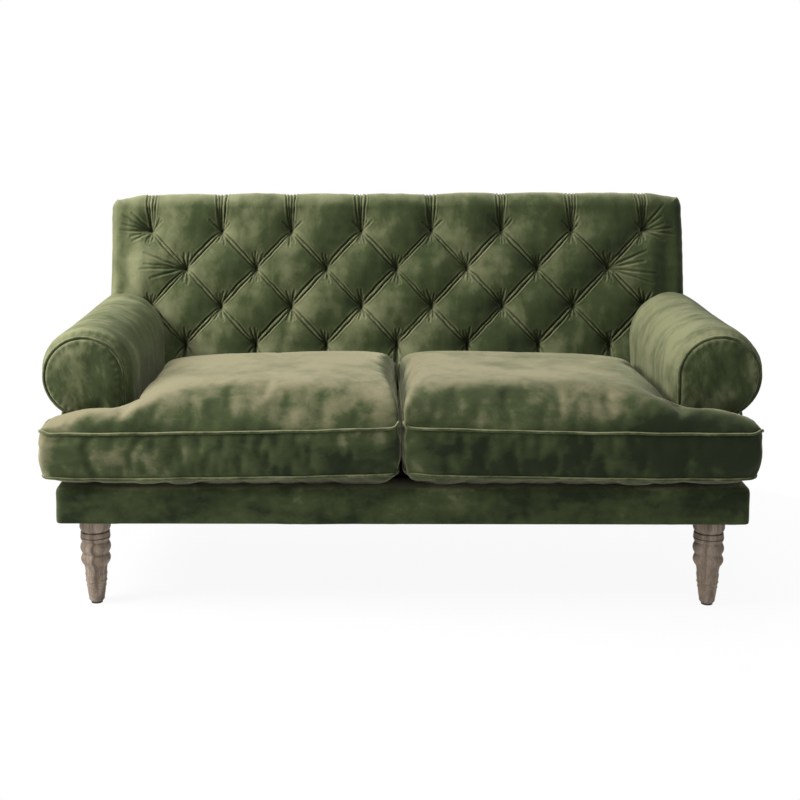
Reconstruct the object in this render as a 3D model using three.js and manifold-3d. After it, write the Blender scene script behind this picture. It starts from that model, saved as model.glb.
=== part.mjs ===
// Two-seat scroll-arm sofa: a timber frame on turned legs, a back with diamond tufts,
// round padded arms and two loose T-shaped seat cushions.
// Millimetres, +Z up, the seat faces -Y, origin on the floor under the middle of the sofa.
import * as THREE from 'three';
import { mergeVertices } from 'three/addons/utils/BufferGeometryUtils.js';
import Module from 'manifold-3d';

const wasm = await Module();
wasm.setup();

// Driving dimensions.
const sofaWidth = 1638;
const sofaDepth = 860;
const sofaHeight = 880;
const legHeight = 198;
const railHeight = 64;
const seatBuild = 82;
const deckHeight = legHeight + seatBuild;
const reclineDegrees = 13.7;
const fitGap = 0.3;

// How far every cutting tool runs past what it cuts.
const overrun = 20;

// How far the main faces stand back from the front of the seat cushions, and how deep the back is in all.
const borderSetback = 30;
const armSetback = 118;
const backRoom = 316;

// Timber and padding thicknesses.
const railThickness = 26;
const postThickness = 30;
const coverThickness = 14;
const boardThickness = 4;

// Arms: the roll is a circle in section, and the two arms flare towards the front.
const rollRadius = 94;
const rollSwell = 12;
const rollFrontRise = 231;
const rollRearRise = 250;
const rollFlare = 24;
const rollOverhang = 51;
const armWallThickness = 38;
const facingThickness = 12;

// Back: how the tufts are spread over it, and the form of the padding.
const backInset = 77;
const tuftMargin = 107;
const rowPitch = 98;
const tuftColumns = 8;
const tuftRows = 4;
const topTuftDrop = 100;
const tuftDepth = 38;
const backPadding = 35;
const backSidePad = 21;
const backEdge = 38;
const borderStand = 30;
const webbingThickness = 3;
const outsideThickness = 20;
const topLip = 5;
const panelBevel = 5;

// Seat cushions.
const cushionOverhang = 19;
const bottomWeltRise = 21;
const boxingHeight = 106;
const crownHeight = 104;
const weltRadius = 4;

// Places that follow from the sizes above.
const frontY = -sofaDepth / 2;
const rearY = sofaDepth / 2;
const borderY = frontY + borderSetback;
const armY = frontY + armSetback;
const borderHalf = sofaWidth / 2 - rollOverhang;
const recline = THREE.MathUtils.degToRad(reclineDegrees);
const frameBottom = legHeight + fitGap;
const railTop = frameBottom + railHeight;
const coverBottom = legHeight - boardThickness / 2;
const railHalf = borderHalf - coverThickness - fitGap;
const railFront = borderY + coverThickness + fitGap;
const padFront = armY + facingThickness + fitGap;
const panelFront = padFront - coverThickness;
const rollFrontHeight = deckHeight + rollFrontRise;
const rollRearHeight = deckHeight + rollRearRise;
const bottomWeltHeight = deckHeight + bottomWeltRise;
const backHalfWidth = sofaWidth / 2 - backInset;
const outerTuft = backHalfWidth - tuftMargin;
const tuftPitch = 2 * outerTuft / (tuftColumns - 1);

// Height of the top of the back above the deck, along the back, for the sofa to be as high as it is.
function backTop() {
  const arcMiddle = backEdge - tuftDepth;
  const arcHeight = sofaHeight - deckHeight - backEdge + arcMiddle * Math.sin(recline);
  return backEdge + arcHeight / Math.cos(recline);
}

const velvet = { color: 0x55633a, roughness: 0.85, metalness: 0 };
const velvetDark = { color: 0x3f4b2b, roughness: 0.85, metalness: 0 };
const pine = { color: 0xc8a878, roughness: 0.7, metalness: 0 };
const greyedOak = { color: 0x8c7866, roughness: 0.65, metalness: 0 };
const steel = { color: 0x8e9196, roughness: 0.35, metalness: 0.9 };
const jute = { color: 0xb29a70, roughness: 0.9, metalness: 0 };
const blackCloth = { color: 0x26272a, roughness: 0.95, metalness: 0 };
const blackPlastic = { color: 0x202022, roughness: 0.5, metalness: 0 };
const nickel = { color: 0xb9bcc0, roughness: 0.25, metalness: 1 };

const sides = [
  ['left', -1],
  ['right', 1],
];
const sofa = new THREE.Group();

// Adds a named piece to a group, with a material of its own.
function addPiece(name, geometry, finish, group = sofa) {
  const mesh = new THREE.Mesh(geometry, new THREE.MeshStandardMaterial(finish));
  mesh.name = name;
  group.add(mesh);
  return mesh;
}

// A geometry from points and triangles, turned inside out when its volume comes out negative.
function closedGeometry(points, triangles) {
  let volume = 0;
  for (const [a, b, c] of triangles) {
    volume += points[a].dot(new THREE.Vector3().crossVectors(points[b], points[c]));
  }
  const index = triangles.flatMap(([a, b, c]) => (volume < 0 ? [a, c, b] : [a, b, c]));
  const geometry = new THREE.BufferGeometry();
  const values = points.flatMap((p) => [p.x, p.y, p.z]);
  geometry.setAttribute('position', new THREE.Float32BufferAttribute(values, 3));
  geometry.setIndex(index);
  return geometry;
}

// A solid through a row of rings with equal counts of points. Caps close it, unless it runs round to its
// start. The caps are triangulated in the plane of the two axes named.
function loft(rings, axes = ['x', 'z'], endless = false) {
  const count = rings[0].length;
  const points = rings.flat();
  const triangles = [];
  const spans = endless ? rings.length : rings.length - 1;
  for (let i = 0; i < spans; i += 1) {
    const here = i * count;
    const there = ((i + 1) % rings.length) * count;
    for (let j = 0; j < count; j += 1) {
      const next = (j + 1) % count;
      triangles.push([here + j, here + next, there + next]);
      triangles.push([here + j, there + next, there + j]);
    }
  }
  if (!endless) {
    for (const last of [false, true]) {
      const start = last ? (rings.length - 1) * count : 0;
      const flat = rings[last ? rings.length - 1 : 0].map((p) => new THREE.Vector2(p[axes[0]], p[axes[1]]));
      const clockwise = THREE.ShapeUtils.isClockWise(flat);
      for (const [a, b, c] of THREE.ShapeUtils.triangulateShape(flat, [])) {
        const ccw = [start + a, start + b, start + c];
        const facesOn = clockwise !== last;
        triangles.push(facesOn ? ccw : [ccw[0], ccw[2], ccw[1]]);
      }
    }
  }
  return closedGeometry(points, orient(triangles, points.length));
}

// Turns triangles so that every shared edge runs both ways, starting from the first one.
function orient(triangles, pointCount) {
  const edgeKey = (a, b) => Math.min(a, b) * pointCount + Math.max(a, b);
  const owners = new Map();
  triangles.forEach((tri, t) => {
    for (let k = 0; k < tri.length; k += 1) {
      const key = edgeKey(tri[k], tri[(k + 1) % tri.length]);
      owners.set(key, [...(owners.get(key) ?? []), t]);
    }
  });
  const runs = (tri, a, b) => tri.some((v, k) => v === a && tri[(k + 1) % tri.length] === b);
  const done = new Set([0]);
  const queue = [0];
  while (queue.length > 0) {
    const t = queue.pop();
    const tri = triangles[t];
    for (let k = 0; k < tri.length; k += 1) {
      const a = tri[k];
      const b = tri[(k + 1) % tri.length];
      for (const other of owners.get(edgeKey(a, b))) {
        if (done.has(other)) continue;
        if (runs(triangles[other], a, b)) {
          const [p, q, r] = triangles[other];
          triangles[other] = [p, r, q];
        }
        done.add(other);
        queue.push(other);
      }
    }
  }
  return triangles;
}

// Solids for cutting and joining.
function toSolid(geometry) {
  let bare = geometry.clone();
  bare.deleteAttribute('normal');
  bare.deleteAttribute('uv');
  bare = mergeVertices(bare);
  const vertProperties = new Float32Array(bare.attributes.position.array);
  const triVerts = new Uint32Array(bare.index.array);
  return new wasm.Manifold(new wasm.Mesh({ numProp: 3, vertProperties, triVerts }));
}

function fromSolid(solid) {
  const mesh = solid.getMesh();
  const geometry = new THREE.BufferGeometry();
  geometry.setAttribute('position', new THREE.BufferAttribute(new Float32Array(mesh.vertProperties), 3));
  geometry.setIndex(new THREE.BufferAttribute(new Uint32Array(mesh.triVerts), 1));
  return geometry;
}

function cut(geometry, ...tools) {
  let solid = toSolid(geometry);
  for (const tool of tools) {
    solid = solid.subtract(toSolid(tool));
  }
  return fromSolid(solid);
}

function join(first, ...others) {
  let solid = toSolid(first);
  for (const other of others) {
    solid = solid.add(toSolid(other));
  }
  return fromSolid(solid);
}

// A box given by its lower and upper corner along each axis.
function block([x0, x1], [y0, y1], [z0, z1]) {
  const box = new THREE.BoxGeometry(Math.abs(x1 - x0), y1 - y0, z1 - z0);
  return box.translate((x0 + x1) / 2, (y0 + y1) / 2, (z0 + z1) / 2);
}

// A span along x on one side of the sofa, in rising order.
function spanOn(side, inner, outer) {
  return side > 0 ? [inner, outer] : [-outer, -inner];
}

// The reclined plane of the back: world depth of a point that lies so far behind the tufts, at a height.
const backPlaneY = rearY - backRoom;
function reclinedY(behind, height) {
  return backPlaneY + behind / Math.cos(recline) + (height - deckHeight) * Math.tan(recline);
}

// The timber seat frame: rails butted together, and triangular blocks that stiffen its corners and take
// the legs.
const blockLeg = 112;
const blockHeight = 44;
const boreSides = 16;
const boltRadius = 4;
const boltSink = 30;
const boltInLeg = 38;
const legInset = 80;
const legAxisX = borderHalf - legInset;
const frontLegSetback = 80;
const rearLegInset = 56;
const backDepth = rearDepthOfBack();
const railRear = reclinedY(backDepth - outsideThickness, coverBottom) - fitGap;
const frontLegY = frontY + frontLegSetback;
const rearLegY = railRear - railThickness - rearLegInset / 2;

// How far the rear of the back lies behind the tufts, for the sofa to be as deep as it is at its top.
function rearDepthOfBack() {
  const reach = rearY - backPlaneY - (backTop() - topLip - panelBevel) * Math.sin(recline);
  return reach / Math.cos(recline);
}

function addSeatFrame() {
  const heights = [frameBottom, railTop];
  const front = [railFront, railFront + railThickness];
  const rear = [railRear - railThickness, railRear];
  const between = [front[1] + fitGap, rear[0] - fitGap];
  addPiece('front_seat_rail', block([-railHalf, railHalf], front, heights), pine);
  addPiece('rear_seat_rail', block([-railHalf, railHalf], rear, heights), pine);
  addPiece('centre_seat_rail', block([-railThickness / 2, railThickness / 2], between, heights), pine);
  for (const [name, side] of sides) {
    const rail = block(spanOn(side, railHalf - railThickness, railHalf), between, heights);
    addPiece(`side_seat_rail_${name}`, rail, pine);
    addPiece(`corner_block_front_${name}`, cornerBlock(side, between[0], 1, frontLegY), pine);
    addPiece(`corner_block_rear_${name}`, cornerBlock(side, between[1], -1, rearLegY), pine);
  }
}

// A three-sided block in a corner of the frame, bored for the bolt of its leg.
function cornerBlock(side, cornerY, inwards, legY) {
  const cornerX = railHalf - railThickness - fitGap;
  const outline = [
    [cornerX, cornerY],
    [cornerX - blockLeg, cornerY],
    [cornerX, cornerY + inwards * blockLeg],
  ];
  const ring = (z) => outline.map(([x, y]) => new THREE.Vector3(side * x, y, z));
  const body = loft([ring(frameBottom), ring(frameBottom + blockHeight)], ['x', 'y']);
  const boreLength = blockHeight + 2 * overrun;
  const bore = new THREE.CylinderGeometry(boltRadius + fitGap, boltRadius + fitGap, boreLength, boreSides);
  bore.rotateX(Math.PI / 2);
  bore.translate(side * legAxisX, legY, frameBottom + blockHeight / 2);
  return cut(body, bore);
}

// Serpentine springs, front rail to rear rail, with their ends lying on the rails.
const springWire = 3.6;
const springLoopHalfWidth = 24;
const springLoops = 8;
const springHold = 12;
const springPlaces = 6;
const springLift = railTop + fitGap + springWire / 2;

class SpringLine extends THREE.Curve {
  constructor(x, start, end) {
    super();
    Object.assign(this, { x, start, end });
  }
  getPoint(t, target = new THREE.Vector3()) {
    const swing = Math.sin(t * springLoops * Math.PI * 2) * springLoopHalfWidth;
    const y = THREE.MathUtils.lerp(this.start, this.end, t);
    return target.set(this.x + swing, y, springLift);
  }
}

function wireSection(radius, corners) {
  const shape = new THREE.Shape();
  for (let k = 0; k <= corners; k += 1) {
    const angle = (k / corners) * Math.PI * 2;
    const point = [radius * Math.cos(angle), radius * Math.sin(angle)];
    if (k === 0) shape.moveTo(...point);
    else shape.lineTo(...point);
  }
  return shape;
}

function addSprings() {
  const start = railFront + railThickness - springHold;
  const end = railRear - railThickness + springHold;
  const wireSides = 4;
  const stepsPerLoop = 4;
  const pitch = (railHalf - railThickness) * 2 / (springPlaces + 1);
  for (let k = 1; k <= springPlaces; k += 1) {
    const offset = (k - (springPlaces + 1) / 2) * pitch;
    const wire = new THREE.ExtrudeGeometry(wireSection(springWire / 2, wireSides), {
      steps: springLoops * stepsPerLoop,
      extrudePath: new SpringLine(offset, start, end),
    });
    addPiece(`seat_spring_${k}`, wire, steel);
  }
}

// The padded deck over the springs, and the black cloth under the frame.
function addDeckAndDustCover() {
  const deckBottom = railTop + fitGap * 2 + springWire;
  const deckHalf = armInner(panelFront) - fitGap;
  const rearEdge = (z) => reclinedY(-tuftDepth - fitGap, z) - fitGap;
  const half = (y) => armInner(y) - fitGap;
  const front = panelFront;
  const ring = (z) => [
    new THREE.Vector3(-deckHalf, front, z),
    new THREE.Vector3(deckHalf, front, z),
    new THREE.Vector3(half(rearEdge(z)), rearEdge(z), z),
    new THREE.Vector3(-half(rearEdge(z)), rearEdge(z), z),
  ];
  addPiece('seat_deck', loft([ring(deckBottom), ring(deckHeight)], ['x', 'y']), velvetDark);

  const cloth = block([-railHalf, railHalf], [railFront, railRear], [coverBottom, legHeight]);
  const holes = [];
  for (const [, side] of sides) {
    const collarHole = frontLegTop / 2 + boardThickness;
    const round = new THREE.CylinderGeometry(collarHole, collarHole, 2 * overrun, legSides);
    round.rotateX(Math.PI / 2).translate(side * legAxisX, frontLegY, legHeight);
    const squareHalf = rearLegTop / 2 + boardThickness;
    const square = block(
      [side * legAxisX - squareHalf, side * legAxisX + squareHalf],
      [rearLegY - squareHalf, rearLegY + squareHalf],
      [legHeight - overrun, legHeight + overrun],
    );
    holes.push(round, square);
  }
  addPiece('dust_cover', cut(cloth, ...holes), blackCloth);
}

// Arms. The roll's middle runs from a front place to a rear place, inwards and up a little.
const rollSteps = 18;
const rollEndAngle = -1.13;
const channelOuter = 34;
const channelLip = 15;
const armRailDepth = 30;
const facingWelt = 4;
const facingRim = 6;
const facingCrown = 5;
const crownFallShare = 0.8;
const facingSides = 40;
const weltSides = 6;
const panelCutDrop = 11;
const panelRollGap = 0.6;
const panelRounding = 10;
const arcShare = 1 - Math.SQRT1_2;
const rearRounding = 14;
const swellRun = 42;
const swellY = padFront + swellRun;

function rollShare(y) {
  return (y - swellY) / (rearY - swellY);
}
function rollX(y) {
  return sofaWidth / 2 - rollRadius - rollSwell - rollFlare * rollShare(y);
}
function rollZ(y) {
  return THREE.MathUtils.lerp(rollFrontHeight, rollRearHeight, rollShare(y));
}
function armInner(y) {
  return rollX(y) - rollRadius - rollSwell;
}

// One section of an arm's padding: up the inner wall, over the roll, and back inside over the arm rail.
// Its points lie at the depths that the given function of height returns.
function armSection(side, y, radius, depthAt = () => y) {
  const [cx, cz] = [rollX(y), rollZ(y)];
  const floor = deckHeight + fitGap;
  const flat = [[cx - radius, floor]];
  for (const angle of evenSteps(Math.PI, rollEndAngle, rollSteps)) {
    flat.push([cx + radius * Math.cos(angle), cz + radius * Math.sin(angle)]);
  }
  const wallInside = cx - rollRadius - rollSwell + armWallThickness;
  flat.push([cx + channelOuter, cz + radius * Math.sin(rollEndAngle)]);
  flat.push([cx + channelOuter, cz - channelLip]);
  flat.push([wallInside, cz - channelLip]);
  flat.push([wallInside, floor]);
  return flat.map(([x, z]) => new THREE.Vector3(side * x, depthAt(z), z));
}

// A full circle round the middle of the roll, for cutting what stands under it.
function rollCircle(side, y, radius) {
  return evenSteps(0, Math.PI * 2, rollSteps * 2).slice(1).map((angle) => new THREE.Vector3(
    side * (rollX(y) + radius * Math.cos(angle)),
    y,
    rollZ(y) + radius * Math.sin(angle),
  ));
}

function addArms() {
  const swollen = rollRadius + rollSwell;
  const rearPlane = (z) => reclinedY(backDepth, z);
  const slabHalf = backHalfWidth + fitGap;
  for (const [name, side] of sides) {
    const stations = [
      [padFront, rollRadius],
      [padFront + rearRounding, swollen - rollSwell / 3],
      [swellY, swollen],
    ];
    const rings = stations.map(([y, r]) => armSection(side, y, r));
    const ends = rearPlane(rollRearHeight);
    rings.push(armSection(side, ends - rearRounding, swollen, (z) => rearPlane(z) - rearRounding));
    rings.push(armSection(side, ends, swollen - rearRounding / 2, rearPlane));
    const backSlab = slab(-tuftDepth - fitGap, backDepth + overrun, slabHalf);
    addPiece(`arm_roll_pad_${name}`, cut(loft(rings), backSlab), velvet);

    addArmFrame(name, side);
    addFacing(name, side);
    addOutsidePanel(name, side, rearPlane, swollen);
  }
}

// A slab that follows the reclined back from one depth behind the tufts to another, as wide as given.
function slab(near, far, half) {
  const low = deckHeight - overrun;
  const high = sofaHeight + overrun;
  const ring = (z) => [
    new THREE.Vector3(-half, reclinedY(near, z), z),
    new THREE.Vector3(half, reclinedY(near, z), z),
    new THREE.Vector3(half, reclinedY(far, z), z),
    new THREE.Vector3(-half, reclinedY(far, z), z),
  ];
  return loft([ring(low), ring(high)], ['x', 'y']);
}

function railUnder(y) {
  return rollZ(y) - channelLip - fitGap - armRailDepth;
}

// The rail under the roll, from the front of the padding to the face of the back post.
// A clearance makes it larger all round, for cutting its pocket.
function armRail(side, clearance) {
  const ring = (y, inner, outer, depthAt) => [
    [inner - clearance, railUnder(y) - clearance],
    [outer + clearance, railUnder(y) - clearance],
    [outer + clearance, railUnder(y) + armRailDepth + clearance],
    [inner - clearance, railUnder(y) + armRailDepth + clearance],
  ].map(([x, z]) => new THREE.Vector3(side * x, depthAt(z), z));
  const postFace = (z) => reclinedY(postStart, z) - fitGap + clearance;
  const inside = armInner(padFront) + armWallThickness + fitGap;
  const outside = rollX(padFront) + channelOuter - fitGap;
  return loft([
    ring(padFront, inside, outside, () => padFront),
    ring(postFace(rollRearHeight), postOuter - postThickness, postOuter, postFace),
  ]);
}

// The timber of an arm: a post at its front, the rail under the roll, and the board behind the inner wall.
function addArmFrame(name, side) {
  const postY = [padFront, padFront + railThickness];
  const wallInside = (y) => armInner(y) + armWallThickness + fitGap;
  const outer = (y) => rollX(y) + channelOuter - fitGap;
  const shoulder = (y) => rollZ(y) - rollRadius - rollSwell - fitGap;
  const postRing = (y) => [
    [wallInside(padFront) + boardThickness + fitGap, railTop + fitGap],
    [railHalf, railTop + fitGap],
    [railHalf, shoulder(y)],
    [outer(y), shoulder(y)],
    [outer(y), railUnder(y) - fitGap],
    [wallInside(padFront) + boardThickness + fitGap, railUnder(y) - fitGap],
  ].map(([x, z]) => new THREE.Vector3(side * x, y, z));
  addPiece(`arm_post_${name}`, loft(postY.map(postRing)), pine);

  addPiece(`arm_top_rail_${name}`, armRail(side, 0), pine);

  const boardEnd = (z) => reclinedY(-tuftDepth, z) - fitGap * 2;
  const boardRing = (z) => {
    const y = boardEnd(z);
    return [
      new THREE.Vector3(side * wallInside(padFront), padFront, z),
      new THREE.Vector3(side * (wallInside(padFront) + boardThickness), padFront, z),
      new THREE.Vector3(side * (wallInside(y) + boardThickness), y, z),
      new THREE.Vector3(side * wallInside(y), y, z),
    ];
  };
  const boardTop = railUnder(armY) - fitGap;
  const boardRings = [boardRing(railTop + fitGap), boardRing(boardTop)];
  addPiece(`arm_inner_board_${name}`, loft(boardRings, ['x', 'y']), jute);
}

// The round front of an arm, slightly domed, with the welt that edges it.
function addFacing(name, side) {
  const facingRadius = rollRadius - 2 * facingWelt;
  const profile = [
    [0, -facingCrown],
    [facingRadius / 2, -facingCrown * crownFallShare],
    [facingRadius - facingRim, 0],
    [facingRadius, facingRim / 2],
    [facingRadius, facingThickness],
    [0, facingThickness],
  ].map(([r, depth]) => new THREE.Vector2(r, depth));
  const facing = new THREE.LatheGeometry(profile, facingSides);
  facing.translate(side * rollX(armY), armY, rollZ(armY));
  addPiece(`arm_facing_${name}`, facing, velvet);

  const ringRadius = facingRadius + facingWelt + fitGap;
  const welt = new THREE.TorusGeometry(ringRadius, facingWelt, weltSides, facingSides);
  welt.rotateX(Math.PI / 2);
  welt.translate(side * rollX(armY), padFront - fitGap - facingWelt, rollZ(armY));
  addPiece(`arm_facing_welt_${name}`, welt, velvet);
}

// The padded cover on the outside of an arm, turned in at its front and rear edges, up to the roll.
function addOutsidePanel(name, side, rearPlane, swollen) {
  const outline = (z, inset, frontInner, rearInner) => {
    const [y0, y1] = [panelFront + inset, rearPlane(z) - inset];
    const x1 = borderHalf - inset;
    const round = inset > 0 ? fitGap : panelRounding;
    return [
      [frontInner, y0],
      [x1 - round, y0],
      [x1 - round * arcShare, y0 + round * arcShare],
      [x1, y0 + round],
      [x1, y1 - round],
      [x1 - round * arcShare, y1 - round * arcShare],
      [x1 - round, y1],
      [rearInner, y1],
      [rearInner, y1 - 2 * coverThickness],
    ].map(([x, y]) => new THREE.Vector3(side * x, y, z));
  };
  const frontEdge = armInner(padFront) + armWallThickness + fitGap;
  const rearEdge = backHalfWidth + fitGap;
  const openInwards = frontEdge - 2 * armWallThickness;
  const panelTop = rollFrontHeight - panelCutDrop;
  const body = loft([
    outline(coverBottom, 0, frontEdge, rearEdge),
    outline(panelTop, 0, frontEdge, rearEdge),
  ], ['x', 'y']);
  const hollow = loft([
    outline(coverBottom - overrun, coverThickness, openInwards, openInwards),
    outline(panelTop + overrun, coverThickness, openInwards, openInwards),
  ], ['x', 'y']);
  const rollTool = loft([
    rollCircle(side, armY - overrun, swollen + panelRollGap),
    rollCircle(side, rearY + overrun, swollen + panelRollGap),
  ]);
  const railPassage = block(
    spanOn(side, openInwards, borderHalf - coverThickness),
    [panelFront - overrun, panelFront + coverThickness + overrun],
    [coverBottom - overrun, railTop + fitGap],
  );
  addPiece(`arm_outside_panel_${name}`, cut(body, hollow, rollTool, railPassage), velvet);
}

// The back, built upright in a group that leans back. In this group y runs from the tufts to the rear,
// and z up along the back from the deck.
const back = new THREE.Group();
back.position.set(0, backPlaneY, deckHeight);
back.rotation.x = -recline;
back.updateMatrixWorld();
sofa.add(back);

const cavityHalf = backHalfWidth - backSidePad;
const postOuter = cavityHalf - fitGap;
const postStart = backPadding + webbingThickness + fitGap * 2;
const postEnd = backDepth - outsideThickness - fitGap;
const postTop = backTop() - backSidePad - fitGap;
const backPadFoot = 17;
const backRailHeight = 60;
const lowerRailFoot = 90;
const strapWidth = 50;
const strapPitch = 150;
const cornerSteps = 4;
const edgeSteps = 3;

// Form of the tufted face.
const tuftSteps = 3;
const sideBorder = 62;
const valleyShare = 0.45;
const valleyPowerShare = 0.7;
const pillowPowerShare = 0.5;
const pleatShare = 0.62;
const pleatReachShare = 0.8;

// How far the padding stands in front of the tufts. Pleats join the tufts in diamonds, and run straight
// up from the top row and straight down from the bottom row.
function standOff(x, w) {
  const topRow = backTop() - topTuftDrop;
  const bottomRow = topRow - rowPitch * (tuftRows - 1);
  const latticeX = THREE.MathUtils.clamp(x, -outerTuft, outerTuft);
  const latticeW = THREE.MathUtils.clamp(w, bottomRow, topRow);
  const across = latticeX / tuftPitch;
  const down = (topRow - latticeW) / (2 * rowPitch);
  const rise = Math.abs(Math.cos(Math.PI * (across + down)));
  const fall = Math.abs(Math.cos(Math.PI * (across - down)));
  const valley = valleyShare * Math.max(rise, fall) ** valleyPowerShare;
  const pillow = (1 - valleyShare) * (rise * fall) ** pillowPowerShare;
  let stand = tuftDepth * (valley + pillow);

  const past = Math.max((w - topRow) / topTuftDrop, (bottomRow - w) / rowPitch, 0);
  const pleated = tuftDepth * (pleatShare + (1 - pleatShare) * Math.sqrt(rise));
  stand = THREE.MathUtils.lerp(stand, pleated, THREE.MathUtils.smoothstep(past, 0, pleatReachShare));
  const beyond = Math.abs(x) - outerTuft;
  return THREE.MathUtils.lerp(stand, borderStand, THREE.MathUtils.smoothstep(beyond, 0, sideBorder));
}

// Pulls a point in the corner of a square of given size onto a quarter circle.
function roundedCorner(dx, dy) {
  if (dx <= 0 || dy <= 0) return [dx, dy];
  const pull = Math.max(dx, dy) / Math.hypot(dx, dy);
  return [dx * pull, dy * pull];
}

// Places of the grid lines along one axis of the padding: even steps between the tufts, then a rounded edge.
function edgeArc(from, direction, radius) {
  const lines = [];
  for (let k = 1; k <= edgeSteps; k += 1) {
    lines.push(from + direction * radius * Math.sin((Math.PI / 2) * (k / edgeSteps)));
  }
  return lines;
}

function evenSteps(from, to, count) {
  return Array.from({ length: count + 1 }, (_, k) => THREE.MathUtils.lerp(from, to, k / count));
}

// A closed body from a grid of front points, rows of rim points behind its edge, and a flat rear face.
function gridBody(columns, rows, place, rims, keep = () => true, rearPlace = null) {
  const points = [];
  const number = new Map();
  const triangles = [];
  const idOf = (i, j) => {
    const key = i * rows + j;
    if (!number.has(key)) {
      number.set(key, points.length);
      points.push(place(i, j));
    }
    return number.get(key);
  };
  const cells = [];
  for (let i = 0; i < columns - 1; i += 1) {
    for (let j = 0; j < rows - 1; j += 1) {
      if (keep(i, j)) cells.push([i, j]);
    }
  }
  for (const [i, j] of cells) {
    const corners = [idOf(i, j), idOf(i + 1, j), idOf(i + 1, j + 1), idOf(i, j + 1)];
    triangles.push(...splitQuad(corners, points));
  }
  const loop = boundaryLoop(triangles);
  let edge = loop;
  const loopPoints = loop.map((v) => points[v]);
  for (const rim of rims) {
    const ring = rim(loopPoints).map((p) => {
      points.push(p);
      return points.length - 1;
    });
    edge.forEach((v, k) => {
      const next = (k + 1) % edge.length;
      triangles.push([v, ring[next], edge[next]], [v, ring[k], ring[next]]);
    });
    edge = ring;
  }
  if (rearPlace === null) {
    const flat = edge.map((v) => new THREE.Vector2(points[v].x, points[v].z));
    for (const tri of THREE.ShapeUtils.triangulateShape(flat, [])) {
      triangles.push(tri.map((k) => edge[k]));
    }
  } else {
    const onEdge = new Map(loop.map((v, k) => [v, edge[k]]));
    const under = new Map();
    const underId = (v) => {
      if (onEdge.has(v)) return onEdge.get(v);
      if (!under.has(v)) {
        under.set(v, points.length);
        points.push(rearPlace(points[v]));
      }
      return under.get(v);
    };
    const top = triangles.slice(0, cells.length * 2);
    for (const [a, b, c] of top) {
      triangles.push([underId(a), underId(c), underId(b)]);
    }
  }
  return closedGeometry(points, orient(triangles, points.length));
}

// Splits a four-sided face along its lower diagonal, so that a pleat keeps its valley.
function splitQuad([a, b, c, d], points) {
  const level = (p, q) => points[p].y + points[q].y;
  return level(a, c) > level(b, d)
    ? [[a, b, c], [a, c, d]]
    : [[a, b, d], [b, c, d]];
}

// The open edge of a sheet of triangles, in order.
function boundaryLoop(triangles) {
  const next = new Map();
  const seen = new Set(triangles.flatMap((t) => t.map((v, k) => `${v},${t[(k + 1) % t.length]}`)));
  for (const edge of seen) {
    const [a, b] = edge.split(',').map(Number);
    if (!seen.has(`${b},${a}`)) next.set(a, b);
  }
  const start = next.keys().next().value;
  const loop = [start];
  for (let v = next.get(start); v !== start; v = next.get(v)) {
    loop.push(v);
  }
  return loop;
}

function addBackPad() {
  const topRow = backTop() - topTuftDrop;
  const bottomRow = topRow - rowPitch * (tuftRows - 1);
  const arcX = backHalfWidth - backEdge;
  const arcW = backTop() - backEdge;
  const halfCells = 2 * (tuftColumns - 1);
  const lattice = evenSteps(-outerTuft, outerTuft, halfCells * tuftSteps);
  const sideLines = [(outerTuft + arcX) / 2, arcX, ...edgeArc(arcX, 1, backEdge)];
  const xs = [...sideLines.map((x) => -x).reverse(), ...lattice, ...sideLines];
  const ws = [
    backPadFoot,
    (backPadFoot + bottomRow) / 2,
    ...evenSteps(bottomRow, topRow, (tuftRows - 1) * tuftSteps),
    (topRow + arcW) / 2,
    arcW,
    ...edgeArc(arcW, 1, backEdge),
  ];
  const place = (i, j) => {
    const [x, w] = [xs[i], ws[j]];
    const overX = Math.max(Math.abs(x) - arcX, 0);
    const overW = Math.max(w - arcW, 0);
    const [px, pw] = roundedCorner(overX, overW);
    const turned = Math.min(Math.max(overX, overW) / backEdge, 1);
    const drop = backEdge * (1 - Math.sqrt(1 - turned * turned));
    const newX = overX > 0 ? Math.sign(x) * (arcX + px) : x;
    const newW = overW > 0 ? arcW + pw : w;
    return new THREE.Vector3(newX, drop - standOff(x, Math.min(w, arcW)), newW);
  };
  const toRear = (edge) => edge.map((p) => new THREE.Vector3(p.x, postEnd, p.z));
  const pad = gridBody(xs.length, ws.length, place, [toRear]);
  const cavity = block(
    [-cavityHalf, cavityHalf],
    [backPadding, backDepth + overrun],
    [backPadFoot - overrun, backTop() - backSidePad],
  );
  addPiece('back_pad', cut(pad, cavity, ...armRailPockets()), velvet, back);
}

// The room that the two arm rails take up on their way to the back posts, in the frame of the back.
function armRailPockets() {
  const toBack = back.matrixWorld.clone().invert();
  return sides.map(([, side]) => armRail(side, fitGap).applyMatrix4(toBack));
}

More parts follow.
